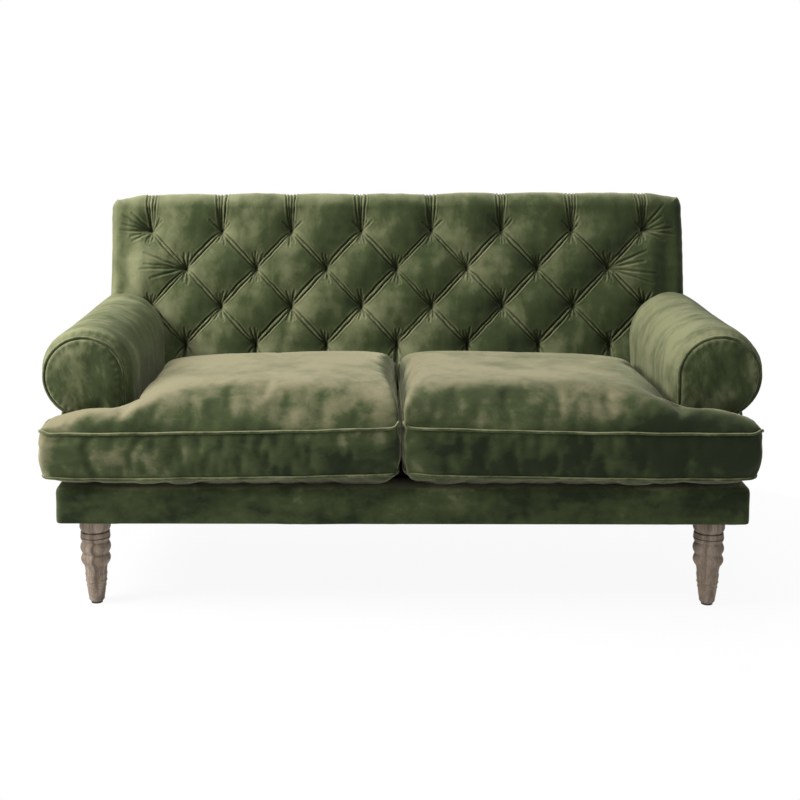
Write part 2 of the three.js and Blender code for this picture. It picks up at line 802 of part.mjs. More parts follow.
// The timber of the back, the webbing strung over it, and the padded panel that closes its rear.
function addBackFrame() {
  const thickness = [postStart, postStart + railThickness];
  const underRail = railTop + fitGap;
  const footAt = (y) => (underRail - deckHeight + y * Math.sin(recline)) / Math.cos(recline);
  for (const [name, side] of sides) {
    const outline = [
      [postStart, footAt(postStart)],
      [postEnd, footAt(postEnd)],
      [postEnd, postTop],
      [postStart, postTop],
    ];
    const ring = (x) => outline.map(([y, w]) => new THREE.Vector3(side * x, y, w));
    const post = loft([ring(postOuter - postThickness), ring(postOuter)], ['y', 'z']);
    addPiece(`back_post_${name}`, post, pine, back);
  }
  const innerHalf = postOuter - postThickness - fitGap;
  const topRail = [postTop - backRailHeight, postTop];
  const lowRail = [lowerRailFoot, lowerRailFoot + backRailHeight];
  addPiece('back_top_rail', block([-innerHalf, innerHalf], thickness, topRail), pine, back);
  addPiece('back_lower_rail', block([-innerHalf, innerHalf], thickness, lowRail), pine, back);
  const centreSpan = [lowRail[1] + fitGap, topRail[0] - fitGap];
  const centrePost = block([-postThickness / 2, postThickness / 2], thickness, centreSpan);
  addPiece('back_centre_post', centrePost, pine, back);
  addWebbing(lowRail[0], postTop);
  addOutsideBack();
}

// Straps up and across the back frame, tacked to it all round.
function addWebbing(low, high) {
  const half = postOuter - strapWidth / 2;
  const depth = [backPadding + fitGap, backPadding + fitGap + webbingThickness];
  const columns = Math.round(2 * half / strapPitch);
  const rows = Math.round((high - low - strapWidth) / strapPitch);
  const upright = evenSteps(-half, half, columns);
  const level = evenSteps(low + strapWidth / 2, high - strapWidth / 2, rows);
  const straps = [
    ...upright.map((x) => block([x - strapWidth / 2, x + strapWidth / 2], depth, [low, high])),
    ...level.map((w) => block([-postOuter, postOuter], depth, [w - strapWidth / 2, w + strapWidth / 2])),
  ];
  addPiece('back_webbing', cut(join(...straps), ...armRailPockets()), jute, back);
}

function addOutsideBack() {
  const foot = (coverBottom - deckHeight + backDepth * Math.sin(recline)) / Math.cos(recline);
  const top = backTop() - topLip;
  const half = backHalfWidth;
  const inner = half - backEdge;
  const shape = new THREE.Shape();
  shape.moveTo(-half + panelBevel, foot + panelBevel);
  shape.lineTo(half - panelBevel, foot + panelBevel);
  shape.absarc(inner, top - backEdge, backEdge - panelBevel, 0, Math.PI / 2);
  shape.absarc(-inner, top - backEdge, backEdge - panelBevel, Math.PI / 2, Math.PI);
  const panel = new THREE.ExtrudeGeometry(shape, {
    depth: outsideThickness - panelBevel * 2,
    bevelThickness: panelBevel,
    bevelSize: panelBevel,
    bevelSegments: 2,
    curveSegments: cornerSteps,
  });
  panel.rotateX(Math.PI / 2).translate(0, backDepth - panelBevel, 0);
  addPiece('outside_back_panel', panel, velvetDark, back);
}

const earGap = 2.5;
const backGap = 1.5;
const armGap = 2;
const cushionCorner = 36;
const cushionColumns = 7;
const cushionRows = 6;
const seamLift = 14;
const boxingSteps = 4;
const boxingWaist = 5;
const crownReach = 150;
const crownPowerShare = 0.9;
const underReach = 40;
const zipMargin = 80;
const zipTravel = 320;
const sliderWidth = 9;
const sliderThickness = 4;
const sliderLength = 14;

// Seat cushions: T-shaped, with an ear that passes in front of the arm. Built for one side and mirrored.
function cushionPlan() {
  const edge = 2 * weltRadius + fitGap;
  const seamX = edge + fitGap;
  const earX = sofaWidth / 2 - cushionOverhang - edge;
  const nearY = frontY + edge;
  const earY = armY - facingCrown - earGap - edge;
  const farY = reclinedY(-tuftDepth, bottomWeltHeight) - backGap - edge;
  const sideX = (y) => armInner(y) - armGap - edge;
  return { edge, seamX, earX, nearY, earY, farY, sideX };
}

// The distance from a point to the outline, smoothed so that no ridge forms where two edges are equally near.
function smoothDistance(x, y, plan) {
  const { seamX, earX, nearY, earY, farY, sideX } = plan;
  const corners = [
    [seamX, nearY], [earX, nearY], [earX, earY], [sideX(earY), earY], [sideX(farY), farY], [seamX, farY],
  ].map(([a, b]) => new THREE.Vector2(a, b));
  const here = new THREE.Vector2(x, y);
  let sum = 0;
  corners.forEach((start, k) => {
    const run = corners[(k + 1) % corners.length].clone().sub(start);
    const share = THREE.MathUtils.clamp(here.clone().sub(start).dot(run) / run.lengthSq(), 0, 1);
    const distance = here.distanceTo(start.clone().addScaledVector(run, share));
    sum += 1 / Math.max(distance, fitGap) ** 2;
  });
  return 1 / Math.sqrt(sum);
}

function puff(distance, reach) {
  const rest = 1 - Math.min(distance / reach, 1);
  return 1 - rest * rest;
}

// The grid of a cushion's top: lines along x from the seam to the ear's end, and along y from front to rear.
function cushionSheet(plan) {
  const { seamX, earX, nearY, earY, farY, sideX } = plan;
  const r = cushionCorner;
  const body = sideX(earY);
  const xs = [seamX, seamX + r / 2, ...evenSteps(seamX + r, body - r, cushionColumns), body - r / 2, body];
  const sideColumn = xs.length - 1;
  xs.push((body + earX - r) / 2, earX - r, earX - r / 2, earX);
  const ys = [nearY, nearY + r / 2, nearY + r, (nearY + earY) / 2, earY - r, earY - r / 2, earY];
  const earRow = ys.length - 1;
  ys.push(...evenSteps(earY, farY - r, cushionRows).slice(1), farY - r / 2, farY);

  const cornerAt = (x, y, cx, cy, turnX, turnY) => {
    const [dx, dy] = roundedCorner((x - cx) * turnX, (y - cy) * turnY);
    return dx > 0 && dy > 0 ? [cx + dx * turnX, cy + dy * turnY] : null;
  };
  const place = (i, j) => {
    const y = ys[j];
    const pastEar = j > earRow;
    const x = pastEar ? seamX + (xs[i] - seamX) * (sideX(y) - seamX) / (body - seamX) : xs[i];
    const side = sideX(farY);
    const rounded = cornerAt(x, y, seamX + r, nearY + r, -1, -1)
      ?? cornerAt(x, y, earX - r, nearY + r, 1, -1)
      ?? (pastEar ? null : cornerAt(x, y, earX - r, earY - r, 1, 1))
      ?? (pastEar ? cornerAt(x, y, side - r, farY - r, 1, 1) : null)
      ?? cornerAt(x, y, seamX + r, farY - r, -1, 1)
      ?? [x, y];
    return { plan: rounded, depth: Math.max(smoothDistance(x, y, plan) - fitGap, 0) };
  };
  return { columns: xs.length, rows: ys.length, place, keep: (i, j) => i < sideColumn || j < earRow };
}

function addCushions() {
  const plan = cushionPlan();
  const { seamX, earX, nearY, farY } = plan;
  const sheet = cushionSheet(plan);
  const slope = Math.tan(recline);
  const leaning = (y, z) => {
    const share = Math.max(y - nearY, 0) / (farY - nearY);
    return y + (z - bottomWeltHeight) * slope * share * share;
  };
  const topWeltAt = (x) => {
    const nearSeam = (earX - x) / (earX - seamX);
    return bottomWeltHeight + boxingHeight + seamLift * nearSeam * nearSeam;
  };
  const bottomWeltAt = (x) => bottomWeltHeight + (topWeltAt(x) - bottomWeltHeight - boxingHeight) / 2;
  for (const [name, side] of sides) {
    const cushion = new THREE.Group();
    sofa.add(cushion);
    const at = (x, y, z) => new THREE.Vector3(side * x, leaning(y, z), z);
    const place = (i, j) => {
      const spot = sheet.place(i, j);
      const [x, y] = spot.plan;
      const high = crownHeight * puff(spot.depth, crownReach) ** crownPowerShare;
      return Object.assign(at(x, y, topWeltAt(x) + high), spot);
    };
    const outline = [];
    const rims = evenSteps(0, 1, boxingSteps).slice(1).map((share) => (edge) => edge.map((p, k) => {
      if (outline.length === 0) outline.push(...edge.map((q) => q.plan));
      const [x, y] = outline[k];
      const [nx, ny] = outwardNormal(outline, k);
      const inset = boxingWaist * Math.sin(Math.PI * share);
      const z = THREE.MathUtils.lerp(topWeltAt(x), bottomWeltAt(x), share);
      return at(x - nx * inset, y - ny * inset, z);
    }));
    const under = (p) => {
      const [x, y] = p.plan;
      const drop = bottomWeltAt(x) - deckHeight - fitGap;
      const z = bottomWeltAt(x) - drop * puff(p.depth, underReach);
      return at(x, y, z);
    };
    const body = gridBody(sheet.columns, sheet.rows, place, rims, sheet.keep, under);
    addPiece(`seat_cushion_${name}`, body, velvet, cushion);
    addPiece(`cushion_top_welt_${name}`, weltRing(outline, topWeltAt, at), velvet, cushion);
    addPiece(`cushion_bottom_welt_${name}`, weltRing(outline, bottomWeltAt, at), velvet, cushion);
    const middleAt = (x) => (topWeltAt(x) + bottomWeltAt(x)) / 2;
    addZipSlider(name, side, cushion, plan, at, middleAt);
  }
}

// The outward direction at a point of an outline, in plan.
function outwardNormal(outline, k) {
  const count = outline.length;
  const before = outline[(k + count - 1) % count];
  const after = outline[(k + 1) % count];
  const area = outline.reduce((sum, [x, y], i) => {
    const [nx, ny] = outline[(i + 1) % count];
    return sum + x * ny - nx * y;
  }, 0);
  const turn = Math.sign(area);
  const normal = new THREE.Vector2((after[1] - before[1]) * turn, (before[0] - after[0]) * turn).normalize();
  return [normal.x, normal.y];
}

// A cord of welting sewn round an outline.
function weltRing(outline, heightAt, at) {
  const offset = weltRadius + fitGap;
  const rings = outline.map(([x, y], k) => {
    const [nx, ny] = outwardNormal(outline, k);
    return evenSteps(0, Math.PI * 2, weltSides).slice(1).map((angle) => {
      const out = offset + weltRadius * Math.cos(angle);
      return at(x + nx * out, y + ny * out, heightAt(x) + weltRadius * Math.sin(angle));
    });
  });
  return loft(rings, ['x', 'z'], true);
}

// The slider of the zip in the rear boxing, at the seam end of its run.
function addZipSlider(name, side, cushion, plan, at, middleAt) {
  const startX = plan.seamX + cushionCorner + zipMargin;
  const middle = middleAt(startX + zipTravel / 2);
  const sliderFace = plan.farY - boxingWaist + fitGap * 3;
  const slider = (x) => [
    at(x, sliderFace, middle - sliderWidth / 2),
    at(x, sliderFace, middle + sliderWidth / 2),
    at(x, sliderFace + sliderThickness, middle + sliderWidth / 2),
    at(x, sliderFace + sliderThickness, middle - sliderWidth / 2),
  ];
  const sliderBody = loft([slider(startX), slider(startX + sliderLength)], ['y', 'z']);
  addPiece(`zip_slider_${name}`, sliderBody, nickel, cushion);
}

const borderCorner = 16;
const borderEdge = 12;

// The padded cover over the front rail, with its top turned in under the ears of the cushions.
function addFrontBorder() {
  const endY = panelFront - fitGap;
  const outline = (z, inset) => {
    const x1 = borderHalf - inset;
    const y0 = borderY + inset;
    const r = borderCorner;
    const half = [];
    for (const angle of evenSteps(-Math.PI / 2, 0, cornerSteps)) {
      half.push([x1 - r + r * Math.cos(angle), y0 + r + r * Math.sin(angle)]);
    }
    half.push([x1, endY]);
    const mirrored = half.map(([x, y]) => [-x, y]).reverse();
    return [...half, ...mirrored].map(([x, y]) => new THREE.Vector3(x, y, z));
  };
  const rings = [outline(coverBottom, 0)];
  for (const angle of evenSteps(0, Math.PI / 2, cornerSteps)) {
    const lift = borderEdge * (1 - Math.sin(angle));
    rings.push(outline(deckHeight - lift, borderEdge * (1 - Math.cos(angle))));
  }
  const underTop = railTop + fitGap * 2 + springWire;
  const hollow = block(
    [-borderHalf + coverThickness, borderHalf - coverThickness],
    [borderY + coverThickness, panelFront + overrun],
    [coverBottom - overrun, underTop],
  );
  addPiece('front_border', cut(loft(rings, ['x', 'y']), hollow), velvet);
}

const frontLegTop = 70;
const rearLegTop = 50;
const rearLegFoot = 32;
const rearLegRake = 76;
const glideHeight = 4;
const frontGlide = 13;
const rearGlide = 12;
const legSides = 20;
const boltSides = 12;
const swellSteps = 4;
const shoulderShare = 0.96;

// Front legs are turned; each turning ends at a share of the leg's length and of its largest radius.
const turningShares = [
  { down: 0.01, out: 1, swell: 0 },
  { down: 0.105, out: 1, swell: 0 },
  { down: 0.152, out: 0.87, swell: 0.02 },
  { down: 0.158, out: 0.79, swell: 0 },
  { down: 0.165, out: 0.93, swell: 0 },
  { down: 0.216, out: 0.96, swell: 0 },
  { down: 0.222, out: 0.87, swell: 0 },
  { down: 0.229, out: 0.96, swell: 0 },
  { down: 0.277, out: 0.85, swell: 0.02 },
  { down: 0.421, out: 0.83, swell: 0.14 },
  { down: 0.561, out: 0.755, swell: 0.16 },
  { down: 0.658, out: 0.69, swell: -0.02 },
  { down: 0.664, out: 0.713, swell: 0 },
  { down: 0.74, out: 0.66, swell: 0 },
  { down: 0.767, out: 0.64, swell: 0.04 },
  { down: 0.806, out: 0.615, swell: 0 },
  { down: 0.824, out: 0.6, swell: 0.03 },
  { down: 0.958, out: 0.5, swell: 0.01 },
  { down: 1, out: 0.4, swell: 0.04 },
];

function addFrontLeg(name, side) {
  const length = legHeight - glideHeight - fitGap;
  const radius = frontLegTop / 2;
  const profile = [new THREE.Vector2(0, legHeight)];
  let [down, out] = [0, shoulderShare];
  profile.push(new THREE.Vector2(radius * out, legHeight));
  for (const turning of turningShares) {
    const steps = Math.abs(turning.swell) > 0 ? swellSteps : 1;
    for (const share of evenSteps(0, 1, steps).slice(1)) {
      const r = THREE.MathUtils.lerp(out, turning.out, share) + turning.swell * Math.sin(Math.PI * share);
      const z = legHeight - length * THREE.MathUtils.lerp(down, turning.down, share);
      profile.push(new THREE.Vector2(radius * r, z));
    }
    [down, out] = [turning.down, turning.out];
  }
  profile.push(new THREE.Vector2(0, legHeight - length));
  const turned = new THREE.LatheGeometry(profile.reverse(), legSides);
  turned.rotateX(Math.PI / 2).translate(side * legAxisX, frontLegY, 0);
  addPiece(`front_leg_${name}`, cut(turned, boltBore(side, frontLegY)), greyedOak);
}

function boltBore(side, y) {
  const bore = new THREE.CylinderGeometry(boltRadius + fitGap, boltRadius + fitGap, boltInLeg * 2, boltSides);
  return bore.rotateX(Math.PI / 2).translate(side * legAxisX, y, legHeight);
}

// Rear legs are square, tapered, and raked backwards.
function addRearLeg(name, side) {
  const ring = (z) => {
    const down = (legHeight - z) / legHeight;
    const half = THREE.MathUtils.lerp(rearLegTop, rearLegFoot, down) / 2;
    const y = rearLegY + rearLegRake * down;
    const x = side * legAxisX;
    return [
      new THREE.Vector3(x - half, y - half, z),
      new THREE.Vector3(x + half, y - half, z),
      new THREE.Vector3(x + half, y + half, z),
      new THREE.Vector3(x - half, y + half, z),
    ];
  };
  const leg = loft([ring(glideHeight + fitGap), ring(legHeight)], ['x', 'y']);
  addPiece(`rear_leg_${name}`, cut(leg, boltBore(side, rearLegY)), greyedOak);
}

// A bolt half in the leg and half in its corner block, and the glide under the foot.
function addLegFittings(place, name, side, topY, footY, glideRadius) {
  const bolt = new THREE.CylinderGeometry(boltRadius, boltRadius, boltSink + boltInLeg - fitGap, boltSides);
  bolt.rotateX(Math.PI / 2);
  bolt.translate(side * legAxisX, topY, legHeight + (boltSink - boltInLeg + fitGap) / 2);
  addPiece(`leg_bolt_${place}_${name}`, bolt, steel);
  const glide = new THREE.CylinderGeometry(glideRadius, glideRadius, glideHeight, legSides);
  glide.rotateX(Math.PI / 2).translate(side * legAxisX, footY, glideHeight / 2);
  addPiece(`glide_${place}_${name}`, glide, blackPlastic);
}

function addLegs() {
  for (const [name, side] of sides) {
    addFrontLeg(name, side);
    addRearLeg(name, side);
    addLegFittings('front', name, side, frontLegY, frontLegY, frontGlide);
    addLegFittings('rear', name, side, rearLegY, rearLegY + rearLegRake, rearGlide);
  }
}

addSeatFrame();
addSprings();
addDeckAndDustCover();
addFrontBorder();
addArms();
addBackFrame();
addBackPad();
addCushions();
addLegs();

export default sofa;
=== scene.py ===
# %% [markdown]
# # A two-seat velvet sofa with a diamond-tufted back
# The imported model is the frame: every upholstered piece below is made in the same place and the same metres as
# the solid that it stands for, so nothing has to be fitted afterwards. We read the frame first. The finished
# sofa may not outgrow it.

# %% Load the frame
import math
import bpy
import bmesh
import numpy as np
from mathutils import Matrix, Vector
from mathutils.bvhtree import BVHTree


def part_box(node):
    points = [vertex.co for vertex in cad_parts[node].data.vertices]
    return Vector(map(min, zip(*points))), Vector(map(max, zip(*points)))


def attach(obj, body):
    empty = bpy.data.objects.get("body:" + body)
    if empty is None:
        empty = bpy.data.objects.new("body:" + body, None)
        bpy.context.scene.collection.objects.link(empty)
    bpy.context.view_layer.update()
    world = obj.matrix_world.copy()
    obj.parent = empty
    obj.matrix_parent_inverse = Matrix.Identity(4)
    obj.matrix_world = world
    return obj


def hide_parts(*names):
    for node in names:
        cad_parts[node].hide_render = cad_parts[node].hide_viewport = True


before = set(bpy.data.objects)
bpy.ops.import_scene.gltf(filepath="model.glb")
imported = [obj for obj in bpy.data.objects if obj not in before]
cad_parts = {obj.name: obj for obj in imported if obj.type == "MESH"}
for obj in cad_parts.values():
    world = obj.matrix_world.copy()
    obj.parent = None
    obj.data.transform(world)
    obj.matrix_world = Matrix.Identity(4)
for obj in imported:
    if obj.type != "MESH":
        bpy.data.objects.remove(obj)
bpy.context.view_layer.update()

# %% [markdown]
# ## The camera
# A product photograph of a sofa is taken from in front, a little above the seat. The legs stand almost upright
# in it although the seat is seen from above, so the camera hardly tilts: its lens is shifted down and a little
# to the side, as a view camera's is. Place, tilt and shift were measured from the corners of the real one.

# %% Set the camera
bpy.context.scene.view_settings.view_transform = "Standard"
camera_place = Vector((-0.0646, -3.4074, 1.1555))
camera_yaw, camera_pitch, camera_roll = 0.0223, -0.1222, -0.0051
focal_length, film_width = 63.2, 36.0
shift_right, shift_up = 0.075, -0.175

forward = Vector((
    -math.sin(camera_yaw) * math.cos(camera_pitch),
    math.cos(camera_yaw) * math.cos(camera_pitch),
    math.sin(camera_pitch),
))
level = Vector((math.cos(camera_yaw), math.sin(camera_yaw), 0))
upright = level.cross(forward)
right = math.cos(camera_roll) * level + math.sin(camera_roll) * upright
up = math.cos(camera_roll) * upright - math.sin(camera_roll) * level
camera_data = bpy.data.cameras.new("camera")
camera_data.lens, camera_data.sensor_width = focal_length, film_width
camera_data.shift_x, camera_data.shift_y = shift_right, shift_up
camera = bpy.data.objects.new("camera", camera_data)
camera.matrix_world = Matrix.Translation(camera_place) @ Matrix((right, up, -forward)).transposed().to_4x4()
bpy.context.scene.collection.objects.link(camera)
bpy.context.scene.camera = camera
print("camera at", tuple(round(v, 3) for v in camera_place))

# %% [markdown]
# ## Small helpers for meshes
# Most upholstery is a sheet that has been bent and stuffed, so most pieces start as a grid of points worked out
# with numpy. These helpers turn such grids into closed, smooth-shaded meshes, and let us fold a mesh that came
# out of a modifier back into a plain one.

# %% Mesh helpers
def add_object(name, mesh):
    piece = bpy.data.objects.new(name, mesh)
    bpy.context.scene.collection.objects.link(piece)
    return piece


def mesh_from(name, points, faces, crease_degrees=40, **values):
    """A closed mesh; values are numbers per point that a material may read by name."""
    mesh = bpy.data.meshes.new(name)
    mesh.from_pydata([tuple(map(float, p)) for p in points], [], faces)
    for label, numbers in values.items():
        mesh.attributes.new(label, "FLOAT", "POINT").data.foreach_set("value", numbers)
    tidy_mesh(mesh)
    return finish_shading(add_object(name, mesh), crease_degrees)


def tidy_mesh(mesh, weld=1e-6):
    bm = bmesh.new()
    bm.from_mesh(mesh)
    bmesh.ops.remove_doubles(bm, verts=bm.verts, dist=weld)
    bmesh.ops.recalc_face_normals(bm, faces=bm.faces)
    bm.to_mesh(mesh)
    bm.free()


def finish_shading(piece, crease_degrees=40):
    mesh = piece.data
    mesh.polygons.foreach_set("use_smooth", [True] * len(mesh.polygons))
    mesh.set_sharp_from_angle(angle=math.radians(crease_degrees))
    return piece


def grid_faces(columns, rows, around=False, offset=0):
    """Faces of a grid whose points are numbered row by row; around joins the last column to the first."""
    i = np.arange(columns if around else columns - 1)
    j = np.arange(rows - 1)[:, None]
    across = (i + 1) % columns
    low, high = j * columns, (j + 1) * columns
    quads = np.stack([low + i, low + across, high + across, high + i], axis=-1)
    return (quads.reshape(-1, 4) + offset).tolist()


def prism_faces(count):
    """Faces of a prism whose two outlines, of the same number of points, follow each other."""
    faces = [list(range(count)), list(range(count, 2 * count))]
    return faces + [[k, (k + 1) % count, (k + 1) % count + count, k + count] for k in range(count)]


def points_of(mesh):
    """The points of a mesh, one row each."""
    flat = np.empty(len(mesh.vertices) * 3)
    mesh.vertices.foreach_get("co", flat)
    return flat.reshape(-1, 3)


def set_points(mesh, points):
    mesh.vertices.foreach_set("co", np.ascontiguousarray(points).ravel())
    mesh.update()


def thin_sheet(name, layer, columns, rows, thickness):
    """A sheet of cloth: one layer of points row by row, a second one beside it, and a rim round both."""
    count = columns * rows
    faces = [face[::-1] for face in grid_faces(columns, rows)] + grid_faces(columns, rows, offset=count)
    rim = list(range(columns)) + [j * columns + columns - 1 for j in range(1, rows)]
    rim += [count - 2 - i for i in range(columns - 1)] + [j * columns for j in range(rows - 2, 0, -1)]
    around = list(zip(rim, rim[1:] + rim[:1]))
    faces += [[near, far, far + count, near + count] for near, far in around]
    return mesh_from(name, np.concatenate([layer, layer + thickness]), faces, 60)


def applied(piece):
    """The piece with its modifiers worked into a plain mesh."""
    evaluated = piece.evaluated_get(bpy.context.evaluated_depsgraph_get())
    mesh = bpy.data.meshes.new_from_object(evaluated)
    piece.modifiers.clear()
    old, piece.data = piece.data, mesh
    mesh.name = old.name
    bpy.data.meshes.remove(old)
    return piece


def copy_of_node(name, node):
    """A merged copy of a frame solid, ready to be softened."""
    piece = add_object(name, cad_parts[node].data.copy())
    piece.data.materials.clear()
    tidy_mesh(piece.data, 1e-5)
    return piece


def smooth_noise(points, size, seed):
    """A smooth random value from -1 to 1 for each point, with bumps of about the given size."""
    rng = np.random.default_rng(seed)
    total = np.zeros(len(points))
    for _ in range(12):
        direction = rng.normal(size=3)
        direction *= (2 * np.pi / size) * rng.uniform(0.6, 1.3) / np.linalg.norm(direction)
        total += np.cos(np.asarray(points) @ direction + rng.uniform(0, 2 * np.pi))
    return total / 5


def smoothstep(value, low, high):
    share = np.clip((value - low) / (high - low), 0, 1)
    return share * share * (3 - 2 * share)


print("helpers ready; quick look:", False)

# %% [markdown]
# ## Finishes: helpers for node materials
# Every finish is built from shader nodes, so that it has colour variation, a fine surface and its own gloss.
# The helpers below only save typing: one adds a node with its settings and wires, the other starts a material
# whose pattern is laid out in the object's own coordinates and so stays put when a cushion is lifted.

# %% Material helpers
def from_srgb(red, green, blue):
    """A colour given as 0 to 255 display values, as the linear value that a shader wants."""
    channels = [c / 255 for c in (red, green, blue)]
    return tuple(c / 12.92 if c <= 0.04045 else ((c + 0.055) / 1.055) ** 2.4 for c in channels) + (1.0,)


def node(tree, kind, inputs=None, **settings):
    """Adds a shader or geometry node. Each input is a plain value, or the output socket to wire to it."""
    made = tree.nodes.new(kind)
    for key, value in settings.items():
        setattr(made, key, value)
    for key, value in (inputs or {}).items():
        if isinstance(value, bpy.types.NodeSocket):
            tree.links.new(value, made.inputs[key])
        else:
            made.inputs[key].default_value = value
    return made


def start_material(name, roughness=0.8, **shader_values):
    material = bpy.data.materials.new(name)
    material.use_nodes = True
    tree = material.node_tree
    shader = tree.nodes["Principled BSDF"]
    shader.inputs["Roughness"].default_value = roughness
    for key, value in shader_values.items():
        shader.inputs[key.replace("_", " ")].default_value = value
    place = node(tree, "ShaderNodeTexCoord").outputs["Object"]
    return material, tree, shader, place


def stretched(tree, place, scale, turn=(0, 0, 0)):
    return node(tree, "ShaderNodeMapping", {"Vector": place, "Scale": scale, "Rotation": turn}).outputs["Vector"]


def noise(tree, place, scale, detail=3, roughness=0.5, distortion=0.0):
    inputs = {"Vector": place, "Scale": scale, "Detail": detail, "Roughness": roughness, "Distortion": distortion}
    return node(tree, "ShaderNodeTexNoise", inputs).outputs["Fac"]


def ramp(tree, value, *stops):
    made = node(tree, "ShaderNodeValToRGB", {"Fac": value})
    elements = made.color_ramp.elements
    while len(elements) < len(stops):
        elements.new(0.5)
    for element, (at, colour) in zip(elements, stops):
        element.position = at
        element.color = colour if isinstance(colour, tuple) else (colour, colour, colour, 1)
    return made.outputs["Color"]


def blended(tree, share, first, second, mode="MIX"):
    """Mixes two colours; share, first and second are sockets or plain values."""
    mix = tree.nodes.new("ShaderNodeMix")
    mix.data_type, mix.blend_type = "RGBA", mode
    for slot, value in ((0, share), (6, first), (7, second)):
        if isinstance(value, bpy.types.NodeSocket):
            tree.links.new(value, mix.inputs[slot])
        else:
            mix.inputs[slot].default_value = value
    return mix.outputs[2]


def maths(tree, operation, *values, clamp=False):
    made = node(tree, "ShaderNodeMath", operation=operation, use_clamp=clamp)
    for slot, value in enumerate(values):
        if isinstance(value, bpy.types.NodeSocket):
            tree.links.new(value, made.inputs[slot])
        else:
            made.inputs[slot].default_value = value
    return made.outputs[0]


def add_bump(tree, shader, height, strength, distance):
    bump = node(tree, "ShaderNodeBump", {"Height": height, "Strength": strength, "Distance": distance})
    tree.links.new(bump.outputs["Normal"], shader.inputs["Normal"])


def finish_with(material, *pieces):
    for piece in pieces:
        piece.data.materials.clear()
        piece.data.materials.append(material)


print("material helpers ready")

# %% [markdown]
# ## Moss-green velvet
# Velvet is a cut pile. Seen end on it swallows light and looks deep green; seen from the side the fibres catch
# the light and it turns a pale, dusty green, which is what the sheen of the shader does. Hands and bodies push
# the pile over in patches and strokes, and each stroke looks lighter or darker than its surroundings. Three
# layers of warped noise stand for those strokes, and a fine grain for the tips of the pile. On top of these, light
# and shade are painted into the colour: paler where the cloth faces up or faces the sofa's left, darker where it
# faces right and towards the right end, painted shade in the back's folds and painted highlight on the strips
# between them. Each group of pieces gets its own version, because the strokes run a different way on an arm, a
# cushion and the back.

# %% Velvet
deep_green = from_srgb(30, 39, 22)
moss_green = from_srgb(62, 72, 44)
pale_green = from_srgb(128, 130, 98)
pile_sheen = from_srgb(216, 214, 182)
seat_beige = from_srgb(130, 124, 98)
broad_share, broken_share, brushed_share = 2.2, 0.9, 0.34    # how much each kind of stroke counts
# These two limit the painted light from the left: past these turns a side is painted no paler or darker.
most_left, most_right = 0.55, 0.45                           # beyond these turns a side gets no paler or darker
grain_size, ripple_size = 1 / 900, 1 / 30


